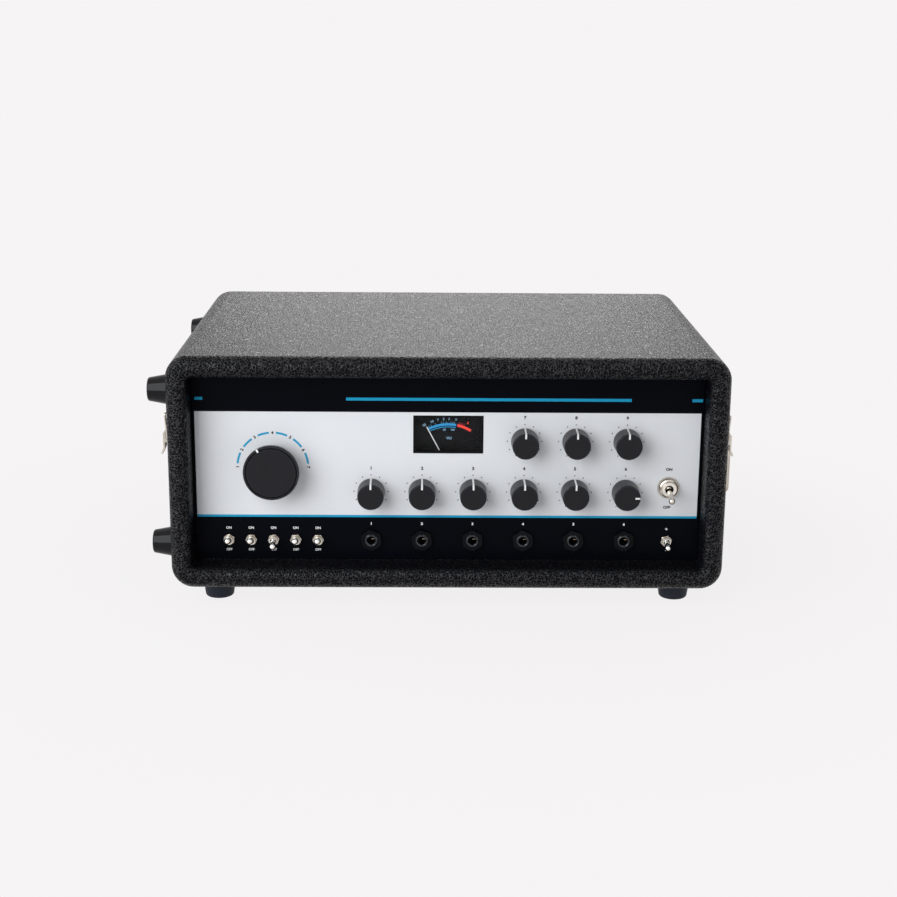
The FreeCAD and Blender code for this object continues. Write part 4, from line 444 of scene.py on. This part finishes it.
def metal_material(name, colour, rough_low, rough_high, scale=50.0, brushed=None, groove_shade=0.16, underside_shade=0.40):
    """Plated or bare metal.

    brushed stretches its marks along one axis; groove_shade is the share of its colour left in grooves
    and underside_shade the share left on sides that look down, both as painted shade.
    """
    material, tree, shader, place = start_material(name, Metallic=1.0)
    smudge = use_group(tree, "smudges", {"Place": place, "Scale": scale})
    edges = use_group(tree, "edge_wear_and_highlight", {"Width": 0.3 * MM})
    dull = tuple(c * 0.86 for c in colour)
    base = colour_mix(tree, remap(tree, smudge.outputs["Broad"], 0.4, 0.7), colour, dull)
    open_air = use_group(tree, "crevices", {"Reach": 2.2 * MM}).outputs["Open"]
    lit = use_group(tree, "painted_light_side", {"Low": -0.5}).outputs["Lit"]
    # painted shade, tinted warm, on sides that look down and away from the lit upper left
    shade = (colour[0] * underside_shade, colour[1] * underside_shade * 0.88, colour[2] * underside_shade * 0.76)
    base = colour_mix(tree, maths(tree, "MULTIPLY", open_air, lit), shade, base)
    # painted shade in grooves and corners
    base = colour_mix(tree, open_air, tuple(c * groove_shade for c in colour), base)
    bright = tuple(min(1.0, c * 1.1) for c in colour)
    worn = maths(tree, "MULTIPLY", edges.outputs["Mask"], 0.5)
    tree.links.new(colour_mix(tree, worn, base, bright), shader.inputs["Base Color"])
    uneven_roughness(tree, shader, smudge, rough_low, rough_high)
    height = smudge.outputs["Fine"]
    if brushed is not None:
        stretch = add_node(tree, "ShaderNodeMapping", {"Vector": place, "Scale": brushed})
        height = noise(tree, stretch.outputs[0], 1200.0, 3.0).outputs["Fac"]
    relief(tree, shader, height, 0.012 * MM, 0.5)
    return material


def rim_material():
    """Glossy moulding with a painted highlight on its rim, brightest where it faces the upper left."""
    material, tree, shader, place = start_material("socket_gloss", Specular_IOR_Level=0.5)
    smudge = use_group(tree, "smudges", {"Place": place, "Scale": 60.0})
    edges = use_group(tree, "edge_wear_and_highlight", {"Width": 0.5 * MM})
    lit = use_group(tree, "painted_light_side", {"Low": -0.2}).outputs["Lit"]
    # painted highlight on the rim's edges, stronger on sides that face the lit upper left
    rim = maths(tree, "MULTIPLY", edges.outputs["Mask"], remap(tree, lit, 0.0, 1.0, 0.25, 1.0))
    colour = colour_mix(tree, rim, (0.004, 0.0045, 0.006), (0.10, 0.11, 0.13))
    tree.links.new(colour, shader.inputs["Base Color"])
    uneven_roughness(tree, shader, smudge, 0.08, 0.14)
    relief(tree, shader, smudge.outputs["Fine"], 0.01 * MM, 0.5)
    return material


def bush_material():
    """Plated bush in front of the panel and black moulding behind it, with painted shade in the bush's bore
    and corners.
    """
    material, tree, shader, place = start_material("switch_bush")
    smudge = use_group(tree, "smudges", {"Place": place, "Scale": 50.0})
    axes = add_node(tree, "ShaderNodeSeparateXYZ", {0: place})
    front = maths(tree, "LESS_THAN", axes.outputs["Y"], PANEL_FACE + BUSH_PLATED)
    open_air = use_group(tree, "crevices", {"Reach": 2.0 * MM}).outputs["Open"]
    # painted shade: the plating darkens in grooves and corners
    plate = colour_mix(tree, open_air, (0.34, 0.33, 0.30), (0.80, 0.77, 0.70))
    tree.links.new(colour_mix(tree, front, (0.010, 0.010, 0.012), plate), shader.inputs["Base Color"])
    tree.links.new(front, shader.inputs["Metallic"])
    uneven_roughness(tree, shader, smudge, 0.2, 0.34)
    relief(tree, shader, smudge.outputs["Fine"], 0.01 * MM, 0.5)
    return material


def clear_material(name, tint, ior=1.49):
    """Clear acrylic with faint hairlines."""
    material, tree, shader, place = start_material(name, Transmission_Weight=1.0, IOR=ior, Base_Color=tint)
    smudge = use_group(tree, "smudges", {"Place": place, "Scale": 40.0})
    tree.links.new(remap(tree, smudge.outputs["Fine"], 0.4, 0.8, 0.01, 0.07), shader.inputs["Roughness"])
    return material


def striped_material(name, first, second, density, rough):
    """Thin layers seen edge on, as in laminations or wound wire."""
    material, tree, shader, place = start_material(name, Roughness=rough)
    axes = add_node(tree, "ShaderNodeSeparateXYZ", {0: place})
    wave = maths(tree, "SINE", maths(tree, "MULTIPLY", axes.outputs["Y"], density))
    tree.links.new(colour_mix(tree, remap(tree, wave, -0.4, 0.4), first, second), shader.inputs["Base Color"])
    relief(tree, shader, wave, 0.03 * MM, 0.5)
    return material


def board_material():
    """Green board with copper tracks under the mask."""
    material, tree, shader, place = start_material("board_mask", Roughness=0.3)
    cells = add_node(tree, "ShaderNodeTexVoronoi", {"Vector": place, "Scale": 180.0}, distance="MANHATTAN",
                     feature="DISTANCE_TO_EDGE")
    track = remap(tree, cells.outputs["Distance"], 0.05, 0.08, 1.0, 0.0)
    colour = colour_mix(tree, track, (0.012, 0.10, 0.035), (0.03, 0.2, 0.07))
    tree.links.new(colour, shader.inputs["Base Color"])
    relief(tree, shader, track, 0.03 * MM, 0.6)
    return material


def paint_node(name, material):
    """Give a ready-made piece its material."""
    mesh = frame["nodes"][name].data
    mesh.materials.clear()
    mesh.materials.append(material)


def new_piece(name, shape, material, body):
    """A finished mesh as an object that rides on a body."""
    bmesh.ops.recalc_face_normals(shape, faces=shape.faces)
    mesh = bpy.data.meshes.new(name)
    shape.to_mesh(mesh)
    shape.free()
    mesh.materials.append(material)
    piece = bpy.data.objects.new(name, mesh)
    bpy.context.scene.collection.objects.link(piece)
    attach(piece, body)
    return piece


def thicken(shape, faces, push):
    """Turn flat faces into a closed thin layer."""
    layer = bmesh.ops.extrude_face_region(shape, geom=faces)
    moved = [item for item in layer["geom"] if isinstance(item, bmesh.types.BMVert)]
    bmesh.ops.translate(shape, verts=moved, vec=push)


def add_dot(shape, x, z, face_y, radius):
    """A printed dot on a face that looks towards -Y."""
    turn = Matrix.Translation((x, face_y, z)) @ Matrix.Rotation(math.radians(90.0), 4, "X")
    made = bmesh.ops.create_circle(shape, cap_ends=True, segments=DOT_SIDES, radius=radius, matrix=turn)
    faces = list({face for vert in made["verts"] for face in vert.link_faces})
    thicken(shape, faces, (0.0, -INK, 0.0))


def add_arc(shape, x, z, face_y, ring, width, start, end):
    """A printed arc; angles in degrees, clockwise from the top."""
    heading = math.radians(start)
    inner = ring - width / 2.0
    outer = ring + width / 2.0
    ends = []
    for r in (inner, outer):
        ends.append(shape.verts.new((x + r * math.sin(heading), face_y, z + r * math.cos(heading))))
    edge = shape.edges.new(ends)
    steps = max(2, int(abs(end - start) / ARC_STEP))
    made = bmesh.ops.spin(shape, geom=[edge] + ends, cent=(x, face_y, z), axis=(0.0, 1.0, 0.0),
                          angle=math.radians(end - start), steps=steps)
    seen = set(made["geom_last"])
    faces = []
    todo = [item for item in seen if isinstance(item, bmesh.types.BMEdge)]
    while todo:
        for face in todo.pop().link_faces:
            if face not in faces:
                faces.append(face)
                todo.extend(face.edges)
    thicken(shape, faces, (0.0, -INK, 0.0))


def add_bar(shape, x, z, face_y, width, height, turn):
    """A printed bar, turned clockwise by degrees."""
    place = Matrix.Translation((x, face_y, z)) @ Matrix.Rotation(math.radians(turn), 4, "Y")
    place = place @ Matrix.Rotation(math.radians(90.0), 4, "X") @ Matrix.Diagonal((width, height, 1.0, 1.0))
    made = bmesh.ops.create_grid(shape, x_segments=1, y_segments=1, size=0.5, matrix=place)
    faces = list({face for vert in made["verts"] for face in vert.link_faces})
    thicken(shape, faces, (0.0, -INK, 0.0))


def add_words(shape, words, x, z, face_y, cap, turn=0.0, bold=0.045, wide=1.1):
    """Printed characters centred on a point, turned clockwise by degrees."""
    line = bpy.data.curves.new("line", "FONT")
    line.body = words
    line.align_x = "CENTER"
    line.align_y = "CENTER"
    line.size = 1.0
    line.offset = bold
    line.extrude = 0.5
    line.resolution_u = 4
    holder = bpy.data.objects.new("line", line)
    mesh = bpy.data.meshes.new_from_object(holder)
    tall = max(v.co.y for v in mesh.vertices) - min(v.co.y for v in mesh.vertices)
    middle = (max(v.co.y for v in mesh.vertices) + min(v.co.y for v in mesh.vertices)) / 2.0
    size = cap / tall
    flat = Matrix.Diagonal((size * wide, size, INK, 1.0)) @ Matrix.Translation((0.0, -middle, 0.5))
    stand = Matrix.Rotation(math.radians(90.0), 4, "X")
    place = Matrix.Translation((x, face_y, z)) @ Matrix.Rotation(math.radians(turn), 4, "Y")
    mesh.transform(place @ stand @ flat)
    shape.from_mesh(mesh)
    bpy.data.objects.remove(holder)
    bpy.data.curves.remove(line)
    bpy.data.meshes.remove(mesh)


def add_strip(shape, path, width, push):
    """A painted line laid along a path of points; width is a vector across it, push its thickness."""
    half = Vector(width) / 2.0
    sides = [shape.verts.new(Vector(path[0]) - half), shape.verts.new(Vector(path[0]) + half)]
    edge = shape.edges.new(sides)
    faces = []
    for here, there in zip(path, path[1:]):
        made = bmesh.ops.extrude_edge_only(shape, edges=[edge])["geom"]
        moved = [item for item in made if isinstance(item, bmesh.types.BMVert)]
        bmesh.ops.translate(shape, verts=moved, vec=Vector(there) - Vector(here))
        edge = next(item for item in made if isinstance(item, bmesh.types.BMEdge)
                    and all(v in moved for v in item.verts))
        faces += [item for item in made if isinstance(item, bmesh.types.BMFace)]
    thicken(shape, faces, push)


class ECHOUNIT_OT_camera(bpy.types.Operator):
    """Place the camera"""
    bl_idname = "echo_unit.camera"
    bl_label = "Camera"

    def execute(self, context):
        look = settings().studio
        camera = bpy.data.objects.new("camera", bpy.data.cameras.new("camera"))
        context.scene.collection.objects.link(camera)
        camera.data.sensor_width = look.sensor
        camera.data.lens = look.lens
        camera.data.clip_end = 100.0
        turn = Matrix.Rotation(look.yaw, 4, "Z") @ Matrix.Rotation(math.radians(90.0) - look.pitch, 4, "X")
        camera.matrix_world = Matrix.Translation(look.eye) @ turn @ Matrix.Rotation(look.roll, 4, "Z")
        context.scene.camera = camera
        return {"FINISHED"}


class ECHOUNIT_OT_stage(bpy.types.Operator):
    """Lay the floor and set the lights"""
    bl_idname = "echo_unit.stage"
    bl_label = "Stage"
    floor_half = 60.0
    key_place = (-1.0, -1.15, 0.80)
    key_aim = (0.0, 0.0, 0.10)
    key_size = 1.5
    key_colour = (0.94, 0.97, 1.0)
    top_place = (0.1, 4.0, 1.4)
    top_aim = (0.0, 0.0, 0.15)
    top_size = 1.6
    top_colour = (1.0, 0.99, 0.98)
    shadow_core = 0.24
    shadow_end = 0.50
    shadow_share = 0.93

    def backdrop_material(self, look):
        """Pale floor: its own colour for the camera, with the unit's soft shadow on it."""
        material = bpy.data.materials.new("floor_white")
        material.use_nodes = True
        tree = material.node_tree
        tree.nodes.clear()
        colour = (*look.backdrop, 1.0)
        matte = add_node(tree, "ShaderNodeBsdfDiffuse", {"Color": colour})
        glow = add_node(tree, "ShaderNodeEmission", {"Color": colour, "Strength": 1.0})
        rays = tree.nodes.new("ShaderNodeLightPath")
        seen = maths(tree, "MAXIMUM", rays.outputs["Is Camera Ray"], rays.outputs["Is Glossy Ray"])
        seen = maths(tree, "MAXIMUM", seen, rays.outputs["Is Transmission Ray"])
        place = tree.nodes.new("ShaderNodeNewGeometry").outputs["Position"]
        away = add_node(tree, "ShaderNodeVectorMath", {0: place}, operation="LENGTH").outputs["Value"]
        share = maths(tree, "MULTIPLY", seen, remap(tree, away, self.shadow_core, self.shadow_end,
                                                 self.shadow_share, 1.0))
        mix = add_node(tree, "ShaderNodeMixShader", {0: share, 1: matte.outputs[0], 2: glow.outputs[0]})
        output = tree.nodes.new("ShaderNodeOutputMaterial")
        tree.links.new(mix.outputs[0], output.inputs[0])
        return material

    def execute(self, context):
        look = settings().studio
        shape = bmesh.new()
        bmesh.ops.create_grid(shape, x_segments=4, y_segments=4, size=self.floor_half)
        mesh = bpy.data.meshes.new("floor")
        shape.to_mesh(mesh)
        shape.free()
        mesh.materials.append(self.backdrop_material(look))
        floor = bpy.data.objects.new("floor", mesh)
        context.scene.collection.objects.link(floor)
        self.sky(context, look)
        self.lamp("key", look.key, self.key_size, self.key_place, self.key_aim, self.key_colour)
        self.lamp("top", look.top, self.top_size, self.top_place, self.top_aim, self.top_colour)
        return {"FINISHED"}

    def sky(self, context, look):
        """Even dome light, with the backdrop's colour where it is looked at."""
        world = context.scene.world or bpy.data.worlds.new("dome")
        context.scene.world = world
        world.use_nodes = True
        tree = world.node_tree
        tree.nodes.clear()
        dome = add_node(tree, "ShaderNodeBackground", {"Color": (1.0, 1.0, 1.0, 1.0), "Strength": look.dome})
        seen = add_node(tree, "ShaderNodeBackground", {"Color": (*look.backdrop, 1.0), "Strength": 1.0})
        rays = tree.nodes.new("ShaderNodeLightPath")
        looked = maths(tree, "MAXIMUM", rays.outputs["Is Camera Ray"], rays.outputs["Is Glossy Ray"])
        looked = maths(tree, "MAXIMUM", looked, rays.outputs["Is Transmission Ray"])
        mix = add_node(tree, "ShaderNodeMixShader", {0: looked, 1: dome.outputs[0], 2: seen.outputs[0]})
        output = tree.nodes.new("ShaderNodeOutputWorld")
        tree.links.new(mix.outputs[0], output.inputs[0])

    def lamp(self, name, power, size, place, aim, colour):
        data = bpy.data.lights.new(name, "AREA")
        data.energy = power
        data.size = size
        data.color = colour
        lamp = bpy.data.objects.new(name, data)
        bpy.context.scene.collection.objects.link(lamp)
        lamp.location = place
        lamp.visible_camera = False
        lamp.rotation_euler = (Vector(aim) - Vector(place)).to_track_quat("-Z", "Y").to_euler()


class ECHOUNIT_OT_case(bpy.types.Operator):
    """Cover the case and lid, and finish the strap and feet"""
    bl_idname = "echo_unit.case"
    bl_label = "Case"

    def execute(self, context):
        vinyl = covering_material()
        for name in ("cabinet_shell", "lid_shell", "handle_strap"):
            paint_node(name, vinyl)
        rubber = plastic_material("foot_rubber", (0.008, 0.012, 0.020), 0.5, 0.65, 80.0, 0.06, 0.25)
        paint_node("rubber_feet", rubber)
        gloss = plastic_material("turned_gloss", (0.004, 0.004, 0.005), 0.10, 0.16, 30.0, 0.004, 0.18)
        for name in ("side_feet_lower", "side_feet_upper"):
            paint_node(name, gloss)
        return {"FINISHED"}


class ECHOUNIT_OT_fittings(bpy.types.Operator):
    """Plate the latches, hinges, caps, nuts, screws and switch levers"""
    bl_idname = "echo_unit.fittings"
    bl_label = "Fittings"

    def execute(self, context):
        nickel = metal_material("nickel_plate", (0.80, 0.76, 0.68), 0.16, 0.26)
        for name in ("base_hinge_leaves", "lid_hinge_leaves", "latch_plates", "latch_keepers",
                     "left_latch_lever", "right_latch_lever", "left_latch_bail", "right_latch_bail",
                     "handle_caps", "panel_nuts", "screws", "power_toggle"):
            paint_node(name, nickel)
        bright = metal_material("bright_plate", (0.97, 0.96, 0.93), 0.14, 0.22, groove_shade=0.6, underside_shade=0.8)
        for name in SWITCHES:
            paint_node(name, bright)
        return {"FINISHED"}


class ECHOUNIT_OT_panel(bpy.types.Operator):
    """Enamel the panel and finish what is set in it"""
    bl_idname = "echo_unit.panel"
    bl_label = "Panel"

    def execute(self, context):
        paint_node("front_panel", panel_material())
        paint_node("toggle_switch_bodies", bush_material())
        paint_node("jack_sockets", rim_material())
        black = plastic_material("socket_black", (0.0022, 0.0026, 0.004), 0.2, 0.3, gloss=0.07)
        for name in ("jack_nuts", "mains_inlet"):
            paint_node(name, black)
        knob = knob_material()
        for name in SMALL_KNOBS + ("selector_knob",):
            paint_node(name, knob)
        return {"FINISHED"}


class ECHOUNIT_OT_scale_dots(bpy.types.Operator):
    """Print the rings of dots round the small knobs"""
    bl_idname = "echo_unit.scale_dots"
    bl_label = "Scale dots"

    def execute(self, context):
        look = settings().printing
        shape = bmesh.new()
        step = 300.0 / (look.dots - 1)
        for name in SMALL_KNOBS:
            centre = pivot(name + "_spin")
            for i in range(look.dots):
                a = math.radians(-150.0 + i * step)
                x = centre.x + look.dot_ring * math.sin(a)
                z = centre.z + look.dot_ring * math.cos(a)
                add_dot(shape, x, z, PANEL_FACE, look.dot_radius)
        new_piece("scale_dots", shape, print_material("dark_print", look.ink), "cabinet")
        return {"FINISHED"}


class ECHOUNIT_OT_selector_scale(bpy.types.Operator):
    """Print the numbered scale of the selector"""
    bl_idname = "echo_unit.selector_scale"
    bl_label = "Selector scale"
    places = 7
    step = 30.0
    gap = 5.6
    number_cap = 2.5

    def execute(self, context):
        look = settings().printing
        centre = pivot("selector_spin")
        first = -self.step * (self.places - 1) / 2.0
        arcs = bmesh.new()
        numbers = bmesh.new()
        for i in range(self.places):
            a = first + i * self.step
            if i < self.places - 1:
                add_arc(arcs, centre.x, centre.z, PANEL_FACE, look.arc_ring, look.arc_width, a + self.gap,
                        a + self.step - self.gap)
            x = centre.x + look.arc_ring * math.sin(math.radians(a))
            z = centre.z + look.arc_ring * math.cos(math.radians(a))
            add_words(numbers, str(i + 1), x, z, PANEL_FACE, self.number_cap * MM, a)
        new_piece("selector_arcs", arcs, print_material("blue_print", look.blue), "cabinet")
        new_piece("selector_numbers", numbers, print_material("number_print", look.ink), "cabinet")
        return {"FINISHED"}


class ECHOUNIT_OT_words(bpy.types.Operator):
    """Print ON and OFF at the switches and plain numbers at the knobs and sockets"""
    bl_idname = "echo_unit.words"
    bl_label = "Words and numbers"
    on_rise = 9.2
    on_cap = 2.0
    off_drop = 8.3
    off_cap = 1.9
    minus_cap = 0.35
    small_bold = 0.02
    power_on_rise = 14.6
    power_off_drop = 15.6
    power_off_shift = 0.7
    power_cap = 2.3
    knob_label_rise = 18.5
    knob_cap = 2.6
    socket_label_rise = 12.9
    socket_cap = 2.1

    def execute(self, context):
        look = settings().printing
        dark = bmesh.new()
        pale = bmesh.new()
        for name in SWITCHES:
            centre = pivot(name + "_flip")
            above, below, low_cap = "ON", "OFF", self.off_cap
            if name == "level_toggle":
                above, below, low_cap = "+", "-", self.minus_cap
            add_words(pale, above, centre.x, centre.z + self.on_rise * MM, PANEL_FACE, self.on_cap * MM,
                      bold=self.small_bold, wide=1.0)
            add_words(pale, below, centre.x, centre.z - self.off_drop * MM, PANEL_FACE, low_cap * MM,
                      bold=self.small_bold, wide=1.0)
        power = pivot("power_toggle_flip")
        cap = self.power_cap * MM
        add_words(dark, "ON", power.x, power.z + self.power_on_rise * MM, PANEL_FACE, cap)
        add_words(dark, "OFF", power.x - self.power_off_shift * MM, power.z - self.power_off_drop * MM,
                  PANEL_FACE, cap)
        for i, name in enumerate(SMALL_KNOBS):
            centre = pivot(name + "_spin")
            add_words(dark, str(i + 1), centre.x, centre.z + self.knob_label_rise * MM, PANEL_FACE,
                      self.knob_cap * MM)
        socket_z = (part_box("jack_sockets")[0].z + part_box("jack_sockets")[1].z) / 2.0
        for i, name in enumerate(SMALL_KNOBS[:6]):
            centre = pivot(name + "_spin")
            add_words(pale, str(i + 1), centre.x, socket_z + self.socket_label_rise * MM, PANEL_FACE,
                      self.socket_cap * MM)
        new_piece("dark_words", dark, print_material("word_print", look.ink), "cabinet")
        paint = print_material("pale_print", (0.90, 0.91, 0.92))
        new_piece("pale_words", pale, paint, "cabinet")
        return {"FINISHED"}


class ECHOUNIT_OT_contacts(bpy.types.Operator):
    """Set the gilt spring contact in each socket"""
    bl_idname = "echo_unit.contacts"
    bl_label = "Socket contacts"
    length = 2.5
    depth = 2.5
    rise = 1.1
    shift = 0.2
    radius = 0.34

    def execute(self, context):
        low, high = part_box("jack_sockets")
        z = (low.z + high.z) / 2.0 + self.rise * MM
        shape = bmesh.new()
        for name in SMALL_KNOBS[:6]:
            x = pivot(name + "_spin").x + (self.shift + self.length / 2.0) * MM
            place = Matrix.Translation((x, low.y + self.depth * MM, z))
            place = place @ Matrix.Rotation(math.radians(90.0), 4, "Y")
            bmesh.ops.create_cone(shape, cap_ends=True, segments=16, radius1=self.radius * MM,
                                  radius2=self.radius * MM, depth=self.length * MM, matrix=place)
        gilt = metal_material("gilt_spring", (0.80, 0.66, 0.44), 0.15, 0.25)
        new_piece("socket_contacts", shape, gilt, "cabinet")
        return {"FINISHED"}


class ECHOUNIT_OT_pointers(bpy.types.Operator):
    """Paint the white lines on the knobs"""
    bl_idname = "echo_unit.pointers"
    bl_label = "Pointers"
    coat = 0.07
    foot_rise = 1.3
    draft = 0.4
    edge = 0.7
    selector_drop = 0.9
    selector_reach = 2.5
    selector_width = 1.35

    def line(self, name, profile, width, body, paint):
        """A line up a knob's side and over its edge; profile is (radius, height) from the panel."""
        centre = pivot(body.replace("_turn", "") + "_spin")
        a = math.radians(REST_TURN.get(name, 0.0))
        out = Vector((math.sin(a), 0.0, math.cos(a)))
        across = Vector((math.cos(a), 0.0, -math.sin(a)))
        path = [Vector((centre.x, PANEL_FACE - h, centre.z)) + out * r for r, h in profile]
        shape = bmesh.new()
        add_strip(shape, path, across * width, (out + Vector((0.0, -1.0, 0.0))) * self.coat * MM)
        new_piece(name + "_pointer", shape, paint, body)

    def execute(self, context):
        look = settings().pointers
        paint = print_material("pointer_paint", look.colour)
        edge = self.edge * MM
        for name in SMALL_KNOBS:
            low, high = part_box(name)
            base = (high.x - low.x) / 2.0
            tall = PANEL_FACE - low.y
            face = base - self.draft * MM
            profile = [(base, self.foot_rise * MM), (face, tall - edge), (face - edge, tall),
                       (face * look.reach, tall)]
            self.line(name, profile, look.width, name + "_turn", paint)
        low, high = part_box("selector_knob")
        tall = PANEL_FACE - low.y
        rim = (high.x - low.x) / 2.0
        profile = [(rim, tall - self.selector_drop * MM), (rim, tall - edge), (rim - edge, tall),
                   (rim - self.selector_reach * MM, tall)]
        self.line("selector_knob", profile, self.selector_width * MM, "selector", paint)
        return {"FINISHED"}


class ECHOUNIT_OT_meter(bpy.types.Operator):
    """Print the meter's scale and finish its case, needle and window"""
    bl_idname = "echo_unit.meter"
    bl_label = "Meter"
    figures = ((-30.0, "20"), (-20.0, "10"), (-12.5, "7"), (-5.5, "5"), (1.0, "3"), (9.5, "0"), (24.0, "3"))
    lower_figures = ((-6.0, "50"), (6.5, "100"))
    ticks = (-25.5, -22.5, -16.5, -9.0, -6.5, -2.5, 3.5, 6.0, 8.0, 14.5, 17.5, 20.5)
    dial_depth = 2.6
    scale_ring = 32.3
    scale_width = 1.8
    thin_ring = 30.3
    thin_width = 0.55
    red_width = 2.0
    red_from = 12.0
    figure_rise = 4.3
    figure_cap = 1.9
    tick_rise = 1.7
    tick_width = 0.28
    tick_length = 1.3
    lower_drop = 2.0
    lower_cap = 1.6
    unit_shift = 0.6
    unit_rise = 21.5
    unit_cap = 2.2

    def around(self, ring, angle):
        """Sideways and upward distance from the needle's pivot to a point of a ring."""
        return ring * math.sin(math.radians(angle)), ring * math.cos(math.radians(angle))

    def execute(self, context):
        look = settings().printing
        black = plastic_material("meter_black", (0.004, 0.004, 0.005), 0.35, 0.45, gloss=0.08)
        paint_node("meter_case", black)
        paint_node("meter_needle", print_material("needle_white", (0.70, 0.70, 0.68)))
        paint_node("meter_lens", clear_material("meter_window", (0.98, 0.99, 1.0), 1.12))
        centre = pivot("needle_swing")
        dial = centre.y + self.dial_depth * MM
        x = centre.x
        z = centre.z
        blue = bmesh.new()
        add_arc(blue, x, z, dial, self.scale_ring * MM, self.scale_width * MM, -28.8, 10.6)
        add_arc(blue, x, z, dial, self.thin_ring * MM, self.thin_width * MM, -26.5, 10.9)
        paint = print_material("meter_blue", (0.03, 0.33, 0.66))
        new_piece("meter_blue_arcs", blue, paint, "cabinet")
        red = bmesh.new()
        add_arc(red, x, z, dial, self.scale_ring * MM, self.red_width * MM, 12.3, 32.2)
        figures = bmesh.new()
        for a, words in self.figures:
            target = red if a > self.red_from else figures
            side, up = self.around((self.scale_ring + self.figure_rise) * MM, a)
            add_words(target, words, x + side, z + up, dial, self.figure_cap * MM, a)
        for a in self.ticks:
            target = red if a > self.red_from else figures
            side, up = self.around((self.scale_ring + self.tick_rise) * MM, a)
            add_bar(target, x + side, z + up, dial, self.tick_width * MM, self.tick_length * MM, a)
        for a, words in self.lower_figures:
            side, up = self.around((self.thin_ring - self.lower_drop) * MM, a)
            add_words(figures, words, x + side, z + up, dial, self.lower_cap * MM, a)
        add_words(figures, "VU", x + self.unit_shift * MM, z + self.unit_rise * MM, dial, self.unit_cap * MM)
        new_piece("meter_red_arc", red, print_material("meter_red", look.red), "cabinet")
        paint = print_material("meter_pale", (0.20, 0.36, 0.50))
        new_piece("meter_figures", figures, paint, "cabinet")
        return {"FINISHED"}


class ECHOUNIT_OT_works(bpy.types.Operator):
    """Finish the chassis, the tape transport and the electrical parts"""
    bl_idname = "echo_unit.works"
    bl_label = "Works"

    def execute(self, context):
        sheet = metal_material("zinc_sheet", (0.66, 0.66, 0.62), 0.32, 0.5, 18.0, (1.0, 18.0, 18.0))
        for name in ("chassis", "reverb_tank", "deck_plate"):
            paint_node(name, sheet)
        steel = metal_material("turned_steel", (0.62, 0.62, 0.61), 0.2, 0.34, 40.0, (1.0, 1.0, 14.0))
        for name in ("potentiometers", "selector_switch", "tape_guides", "pinch_arm", "flywheel",
                     "drive_motor"):
            paint_node(name, steel)
        paint_node("motor_pulley", metal_material("pulley_brass", (0.75, 0.55, 0.25), 0.2, 0.3))
        paint_node("tape_heads", metal_material("head_mirror", (0.78, 0.78, 0.77), 0.06, 0.12))
        rubber = plastic_material("roller_rubber", (0.012, 0.012, 0.012), 0.6, 0.75, 90.0, 0.03)
        for name in ("pinch_roller", "drive_belt"):
            paint_node(name, rubber)
        oxide = plastic_material("tape_oxide", (0.045, 0.022, 0.012), 0.22, 0.32, 20.0, 0.002)
        paint_node("tape_loop", oxide)
        paint_node("chamber_cover", clear_material("cover_acrylic", (0.95, 0.97, 0.98)))
        paint_node("circuit_board", board_material())
        laminated = striped_material("laminations", (0.03, 0.03, 0.032), (0.10, 0.09, 0.085), 9000.0, 0.45)
        paint_node("power_transformer", laminated)
        coat = plastic_material("powder_coat", (0.012, 0.012, 0.012), 0.45, 0.6, 70.0, 0.08)
        paint_node("rear_plate", coat)
        return {"FINISHED"}


# In the order in which they are run: the camera and the stage come first.
PIECES = (ECHOUNIT_OT_camera, ECHOUNIT_OT_stage, ECHOUNIT_OT_case, ECHOUNIT_OT_fittings, ECHOUNIT_OT_panel,
          ECHOUNIT_OT_scale_dots, ECHOUNIT_OT_selector_scale, ECHOUNIT_OT_words, ECHOUNIT_OT_contacts,
          ECHOUNIT_OT_pointers, ECHOUNIT_OT_meter, ECHOUNIT_OT_works)


class ECHOUNIT_PT_sidebar(bpy.types.Panel):
    """Buttons for every group of pieces"""
    bl_label = "Echo Unit"
    bl_idname = "ECHOUNIT_PT_sidebar"
    bl_space_type = "VIEW_3D"
    bl_region_type = "UI"
    bl_category = "Echo Unit"

    def draw(self, context):
        for piece in PIECES:
            self.layout.operator(piece.bl_idname)


CLASSES = (CoveringSettings, PrintSettings, PointerSettings, StudioSettings, EchoUnitSettings, *PIECES,
           ECHOUNIT_PT_sidebar)


def register():
    for item in CLASSES:
        bpy.utils.register_class(item)
    bpy.types.Scene.echo_unit = PointerProperty(type=EchoUnitSettings)


def unregister():
    del bpy.types.Scene.echo_unit
    for item in reversed(CLASSES):
        bpy.utils.unregister_class(item)


def main():
    register()
    bpy.context.scene.view_settings.view_transform = "Standard"
    for piece in PIECES:
        group, action = piece.bl_idname.split(".")
        getattr(getattr(bpy.ops, group), action)()


if __name__ == "__main__":
    main()
